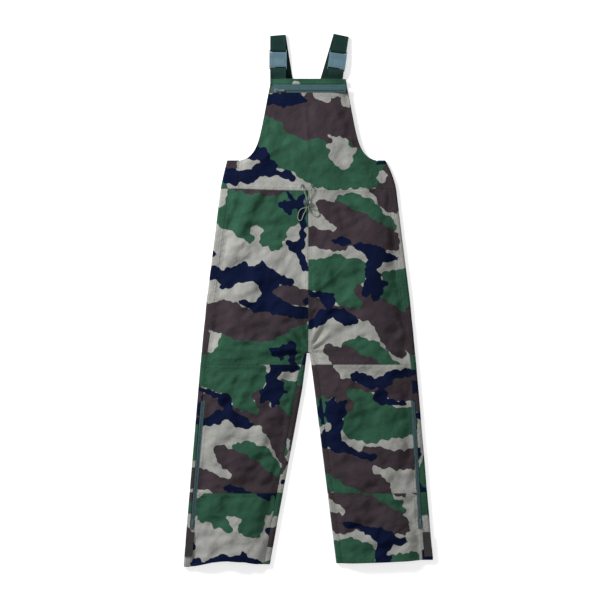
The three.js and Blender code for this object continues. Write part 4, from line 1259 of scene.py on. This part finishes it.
def box_mm(node):
    """Lowest and highest corners of a piece of the frame, in the garment's millimetres."""
    return [corner / MM - Vector((0, FRAME_Y, 0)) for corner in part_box(node)]


# ---- Zips ----

ZIP_WALL = 0.8
TOOTH_PITCH = 2.6
TAPE_OVERHANG = 5.0
BIB_ZIP = ("bib_zip", (-98, 602, 18.1), 0.0, 200.0, (17.4, 5.7), "bib_slider", "bib_pull")


def leg_zip(side, sign):
    """A leg zip's place, turn and length: a straight line along the side seam."""
    bottom, top = -653, -285
    start = Vector((sign * float(seam_x(side, bottom)), bottom, FOLD_HEIGHT - CLOTH_WALL / 2))
    end = Vector((sign * float(seam_x(side, top)), top, start.z))
    angle = math.atan2(end.y - start.y, end.x - start.x)
    return (f"leg_zip_{side}", start, angle, (end - start).length, (6.0, 6.0), f"leg_slider_{side}",
            f"leg_pull_{side}")


def tape_place(place, inner, width, sign, run):
    def placed(across, up):
        edge = inner + (width - inner) * across
        x = run * (1 - up) if sign > 0 else run * up
        local = np.stack([x, sign * edge, np.full_like(edge, ZIP_WALL)], 1)
        return np.array([place @ Vector(p) for p in local])
    return placed


def teeth(name, place, run, sign, material):
    """A row of teeth along one side of a zip, each a small block."""
    bm = bmesh.new()
    for i in range(int((run - 2) / TOOTH_PITCH)):
        x = 1.5 + (i + (0.5 if sign > 0 else 0.0)) * TOOTH_PITCH
        size = Matrix.Diagonal((TOOTH_PITCH * 0.55, 2.3, 2.2, 1))
        bmesh.ops.create_cube(bm, size=1.0, matrix=place @ Matrix.Translation((x, sign * 1.5, 0.4)) @ size)
    bmesh.ops.translate(bm, verts=bm.verts, vec=(0, FRAME_Y, 0))
    bmesh.ops.scale(bm, verts=bm.verts, vec=(MM, MM, MM))
    mesh = bpy.data.meshes.new(name)
    bm.to_mesh(mesh)
    bm.free()
    mesh.materials.append(material)
    piece = new_object(name, mesh)
    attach(piece, "root")
    return piece


class OVERTROUSERS_OT_zips(bpy.types.Operator):
    """Adds the bib zip and the two leg zips, with their tapes, teeth, sliders and pulls"""

    bl_idname = "overtrousers.zips"
    bl_label = "Zips"

    def execute(self, context):
        for name, at, angle, run, widths, slider, pull in (BIB_ZIP, *(leg_zip(*side) for side in SIDES)):
            place = Matrix.Translation(at) @ Matrix.Rotation(angle, 4, "Z")
            for half, sign, width in (("upper", 1, widths[0]), ("lower", -1, widths[1])):
                self.tape(name, half, sign, width, place, run)
                teeth(f"{name}_teeth_{half}", place, run, sign, zip_teeth())
            shine = zip_metal() if name == BIB_ZIP[0] else zip_teeth()
            softened(f"{name}_runner", f"{name}_slider", shine, 0.25, slider)
            softened(f"{name}_tag", f"{name}_pull", shine, 0.2, pull)
        for side, _ in SIDES:
            softened(f"zip_guard_{side}", f"leg_zip_guard_{side}", lining_cloth(), 0.4)
        return {"FINISHED"}

    @staticmethod
    def tape(name, half, sign, width, place, run):
        inner = 0.75
        columns, rows = max(3, round(width / 2)), round(run / 6)
        piece_name = f"{name}_ribbon_{half}"
        if name == BIB_ZIP[0]:
            place = place @ Matrix.Translation((-TAPE_OVERHANG, 0, 0))
            run = run + 2 * TAPE_OVERHANG
        mesh, shares, _ = grid_mesh(piece_name, columns, rows, tape_place(place, inner, width, sign, run))
        set_attribute(mesh, "across", inner + (width - inner) * shares[:, 0])
        set_attribute(mesh, "run", run * shares[:, 1])
        mesh.materials.append(zip_tape())
        piece = new_object(piece_name, mesh)
        wall_of(piece, ZIP_WALL)
        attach(piece, "root")
        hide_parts(f"{name}_tape_{half}")


# ---- Straps and buckles ----

WEB_WIDTH = 45
BUCKLE_BACK, BUCKLE_FRONT = -29, 29
BUCKLE_Z = WEB_WALL + 2 * GAP
BUCKLE_THICKNESS = 11
BAR_Z = BUCKLE_THICKNESS / 2
BAR_WIDTH, BAR_HEIGHT = 4, 3.6
LOOP_RADIUS = math.hypot(BAR_WIDTH, BAR_HEIGHT) / 2 + GAP + WEB_WALL / 2
FOLD_RADIUS = 3
# Each strap's buckle place, its lean in degrees, and the middles of its foot and its top.
STRAPS = (
    ("left", (-87, 692), 0, (-42, STRAP_FOOT_Y), (-87, STRAP_TOP_Y)),
    ("right", (83, 689), -8, (11, STRAP_FOOT_Y), (93.5, STRAP_TOP_Y)),
)


def round_bar(bar_y, ends, low, high, turn):
    """Points along and up, round a buckle's bar from below to above it."""
    arc = [(bar_y + turn * LOOP_RADIUS * math.sin(a), BAR_Z - LOOP_RADIUS * math.cos(a))
           for a in np.linspace(0, math.pi, 13)]
    return [(ends[0], low), *arc, (ends[1], high)]


def web(name, path, nodes):
    """Flat webbing along a path of (point, direction across it)."""
    places = [Vector(p) for p, _ in path]
    runs = np.cumsum([0.0] + [(b - a).length for a, b in zip(places, places[1:])])
    middles = np.array([tuple(p) for p in places])
    sideways = np.array([tuple(Vector(a).normalized()) for _, a in path])
    rows = max(8, round(runs[-1] / 3))

    def placed(across, up):
        run = runs[-1] * up
        middle = np.stack([np.interp(run, runs, middles[:, i]) for i in range(3)], 1)
        side = np.stack([np.interp(run, runs, sideways[:, i]) for i in range(3)], 1)
        return middle + side * ((across - 0.5) * WEB_WIDTH)[:, None]

    mesh, shares, _ = grid_mesh(name, 18, rows, placed)
    set_attribute(mesh, "across", (shares[:, 0] - 0.5) * WEB_WIDTH)
    set_attribute(mesh, "run", runs[-1] * shares[:, 1])
    mesh.materials.append(webbing())
    piece = new_object(name, mesh)
    wall_of(piece, WEB_WALL, 0)
    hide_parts(*nodes)
    return piece


class OVERTROUSERS_OT_straps(bpy.types.Operator):
    """Adds the front stubs and the shoulder straps of webbing"""

    bl_idname = "overtrousers.straps"
    bl_label = "Straps"

    def execute(self, context):
        for side, at, lean, foot, top in STRAPS:
            turned = Matrix.Translation((*at, BUCKLE_Z)) @ Matrix.Rotation(math.radians(lean), 4, "Z")
            across = turned.to_3x3() @ Vector((1, 0, 0))
            bib_z = CLOTH_TOP_Z + GAP + WEB_WALL / 2 - BUCKLE_Z
            stub = round_bar(BUCKLE_BACK + BAR_WIDTH / 2, (BUCKLE_BACK - 7, BUCKLE_BACK - 20),
                             BAR_Z - LOOP_RADIUS, bib_z, 1)
            stub.append((BUCKLE_BACK - 44, bib_z))
            front = web(f"strap_stub_{side}", [(turned @ Vector((0, y, z)), across) for y, z in stub],
                        [f"strap_front_{side}"])
            self.tuck(front.data)
            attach(front, "root")
            path = self.shoulder(turned, across, lean, foot, top)
            strap = web(f"shoulder_web_{side}", path, [f"strap_upper_{side}", f"strap_lower_{side}"])
            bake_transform(strap)
        softened("strap_joining_patch", "strap_patch", printed_cloth(), 0.4)
        return {"FINISHED"}

    @staticmethod
    def tuck(mesh):
        """Lets the end of a strap follow the bib down behind the band that it is sewn to."""
        for vertex in mesh.vertices:
            x, y = vertex.co.x / MM, vertex.co.y / MM - FRAME_Y
            behind = float(front_height("left", np.array(x), np.array(min(y, BIB_TOP_Y)))) - WEB_WALL
            share = min(max((BIB_TOP_Y + 26 - y) / 24, 0), 1)
            share = share * share * (3 - 2 * share)
            vertex.co.z += share * (behind * MM - vertex.co.z)

    @staticmethod
    def shoulder(turned, across, lean, foot, top):
        """Round the buckle's bar, up, over its own top in a flat fold, and down to the yoke."""
        loop = round_bar(BUCKLE_FRONT - BAR_WIDTH / 2, (BUCKLE_FRONT + 9, BUCKLE_FRONT + 22),
                         BAR_Z - LOOP_RADIUS, 2 * FOLD_RADIUS + WEB_WALL / 2 - BUCKLE_Z + 2, -1)
        path = [(turned @ Vector((0, y, z)), across) for y, z in loop]
        down = Vector((foot[0] - top[0], foot[1] - top[1], 0)).normalized()
        up = Vector((-math.sin(math.radians(lean)), math.cos(math.radians(lean)), 0))
        crease = up + down
        crease = (crease * math.copysign(1, crease.x)).normalized()
        out = Vector((-crease.y, crease.x, 0))
        middle = Vector((top[0], top[1] - FOLD_RADIUS - WEB_WALL, WEB_WALL / 2 + FOLD_RADIUS))
        for angle in np.radians(np.linspace(90, -80, 15)):
            turn = out * FOLD_RADIUS * math.cos(angle) + Vector((0, 0, FOLD_RADIUS * math.sin(angle)))
            path.append((middle + turn, crease))
        start = Vector((top[0], top[1] - FOLD_RADIUS - WEB_WALL - 1, WEB_WALL / 2))
        end = Vector((*foot, WEB_WALL / 2))
        lower_across = Vector((-down.y, down.x, 0))
        path.append((start.lerp(end, 0.15), lower_across))
        path.append((end, Vector((1, 0, 0))))
        return path


def bar_block(bm, place, low, high, bevel):
    """A bar between two corners with rounded edges, added to a bmesh."""
    middle = [(a + b) / 2 for a, b in zip(low, high)]
    size = [b - a for a, b in zip(low, high)]
    block = place @ Matrix.Translation(middle) @ Matrix.Diagonal((*size, 1))
    made = bmesh.ops.create_cube(bm, size=1.0, matrix=block)
    edges = list({edge for vert in made["verts"] for edge in vert.link_edges})
    bmesh.ops.bevel(bm, geom=edges, offset=bevel, segments=2, profile=0.5, affect="EDGES", material=-1)


def buckle_ribs(name, place, bars, body):
    """Raised bars moulded on the top of a buckle half."""
    bm = bmesh.new()
    for low, high in bars:
        bar_block(bm, place, low, high, 0.35)
    bmesh.ops.translate(bm, verts=bm.verts, vec=(0, FRAME_Y, 0))
    bmesh.ops.scale(bm, verts=bm.verts, vec=(MM, MM, MM))
    mesh = bpy.data.meshes.new(name)
    bm.to_mesh(mesh)
    bm.free()
    mesh.materials.append(buckle_plastic())
    ribs = new_object(name, mesh)
    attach(ribs, body)


class OVERTROUSERS_OT_buckles(bpy.types.Operator):
    """Adds the side-release buckles"""

    bl_idname = "overtrousers.buckles"
    bl_label = "Buckles"

    def execute(self, context):
        top, half, rib = BUCKLE_THICKNESS - 0.3, 17, 1.4
        low_y, high_y, rise = -17, 5, top + 1.0
        socket_bars = [((-half, low_y, top), (half, low_y + rib, rise)),
                       ((-half, high_y - rib, top), (half, high_y, rise)),
                       ((-half, low_y + rib, top), (rib - half, high_y - rib, rise)),
                       ((half - rib, low_y + rib, top), (half, high_y - rib, rise))]
        tongue_bars = [((-16, y, top - 1), (16, y + 1.2, top - 0.1)) for y in (11, 14, 17)]
        for side, at, lean, _, _ in STRAPS:
            turned = Matrix.Translation((*at, BUCKLE_Z)) @ Matrix.Rotation(math.radians(lean), 4, "Z")
            buckle_ribs(f"socket_ribs_{side}", turned, socket_bars, "root")
            buckle_ribs(f"tongue_ribs_{side}", turned, tongue_bars, f"shoulder_strap_{side}")
            softened(f"buckle_socket_{side}", f"buckle_female_{side}", buckle_plastic(), 0.5)
            softened(f"buckle_tongue_{side}", f"buckle_male_{side}", buckle_plastic(), 0.5,
                     f"shoulder_strap_{side}")
            for arm, body in (("left", "a"), ("right", "b")):
                softened(f"buckle_prong_{side}_{arm}", f"buckle_arm_{side}_{arm}", buckle_plastic(), 0.5,
                         f"buckle_arm_{side}_{body}")
        return {"FINISHED"}


class OVERTROUSERS_OT_hem_tabs(bpy.types.Operator):
    """Adds the hook-and-loop tabs at the hems"""

    bl_idname = "overtrousers.hem_tabs"
    bl_label = "Hem tabs"

    def execute(self, context):
        for side, _ in SIDES:
            softened(f"hem_strip_{side}", f"hem_tab_{side}", hook_tape(), 0.6, f"hem_tab_{side}")
            softened(f"hem_pile_{side}", f"hem_loop_patch_{side}", hook_tape(), 0.3)
        return {"FINISHED"}


# ---- Panel and registration ----

OPERATORS = (
    OVERTROUSERS_OT_stage,
    OVERTROUSERS_OT_drawcord,
    OVERTROUSERS_OT_leg_fronts,
    OVERTROUSERS_OT_backs,
    OVERTROUSERS_OT_waist,
    OVERTROUSERS_OT_bib,
    OVERTROUSERS_OT_zips,
    OVERTROUSERS_OT_straps,
    OVERTROUSERS_OT_buckles,
    OVERTROUSERS_OT_cord_lock,
    OVERTROUSERS_OT_hem_tabs,
)


class OVERTROUSERS_PT_sidebar(bpy.types.Panel):
    """Lists the sizes, the colours and the pieces"""

    bl_idname = "OVERTROUSERS_PT_sidebar"
    bl_label = "Overtrousers"
    bl_space_type = "VIEW_3D"
    bl_region_type = "UI"
    bl_category = "Overtrousers"

    def draw(self, context):
        layout = self.layout
        for group in (settings().cloth, settings().colours, settings().stage):
            box = layout.box()
            for key in group.__annotations__:
                box.prop(group, key)
        for operator in OPERATORS:
            layout.operator(operator.bl_idname)


CLASSES = (
    OVERTROUSERS_PG_cloth,
    OVERTROUSERS_PG_colours,
    OVERTROUSERS_PG_stage,
    OVERTROUSERS_PG_settings,
    *OPERATORS,
    OVERTROUSERS_PT_sidebar,
)


def register():
    for each in CLASSES:
        bpy.utils.register_class(each)
    bpy.types.Scene.overtrousers = bpy.props.PointerProperty(
        type=OVERTROUSERS_PG_settings, name="Overtrousers", description="Sizes and colours of the garment")


def unregister():
    del bpy.types.Scene.overtrousers
    for each in reversed(CLASSES):
        bpy.utils.unregister_class(each)


def main():
    register()
    for operator in OPERATORS:
        family, action = operator.bl_idname.split(".")
        getattr(getattr(bpy.ops, family), action)()
    bpy.context.view_layer.update()


if __name__ == "__main__":
    main()
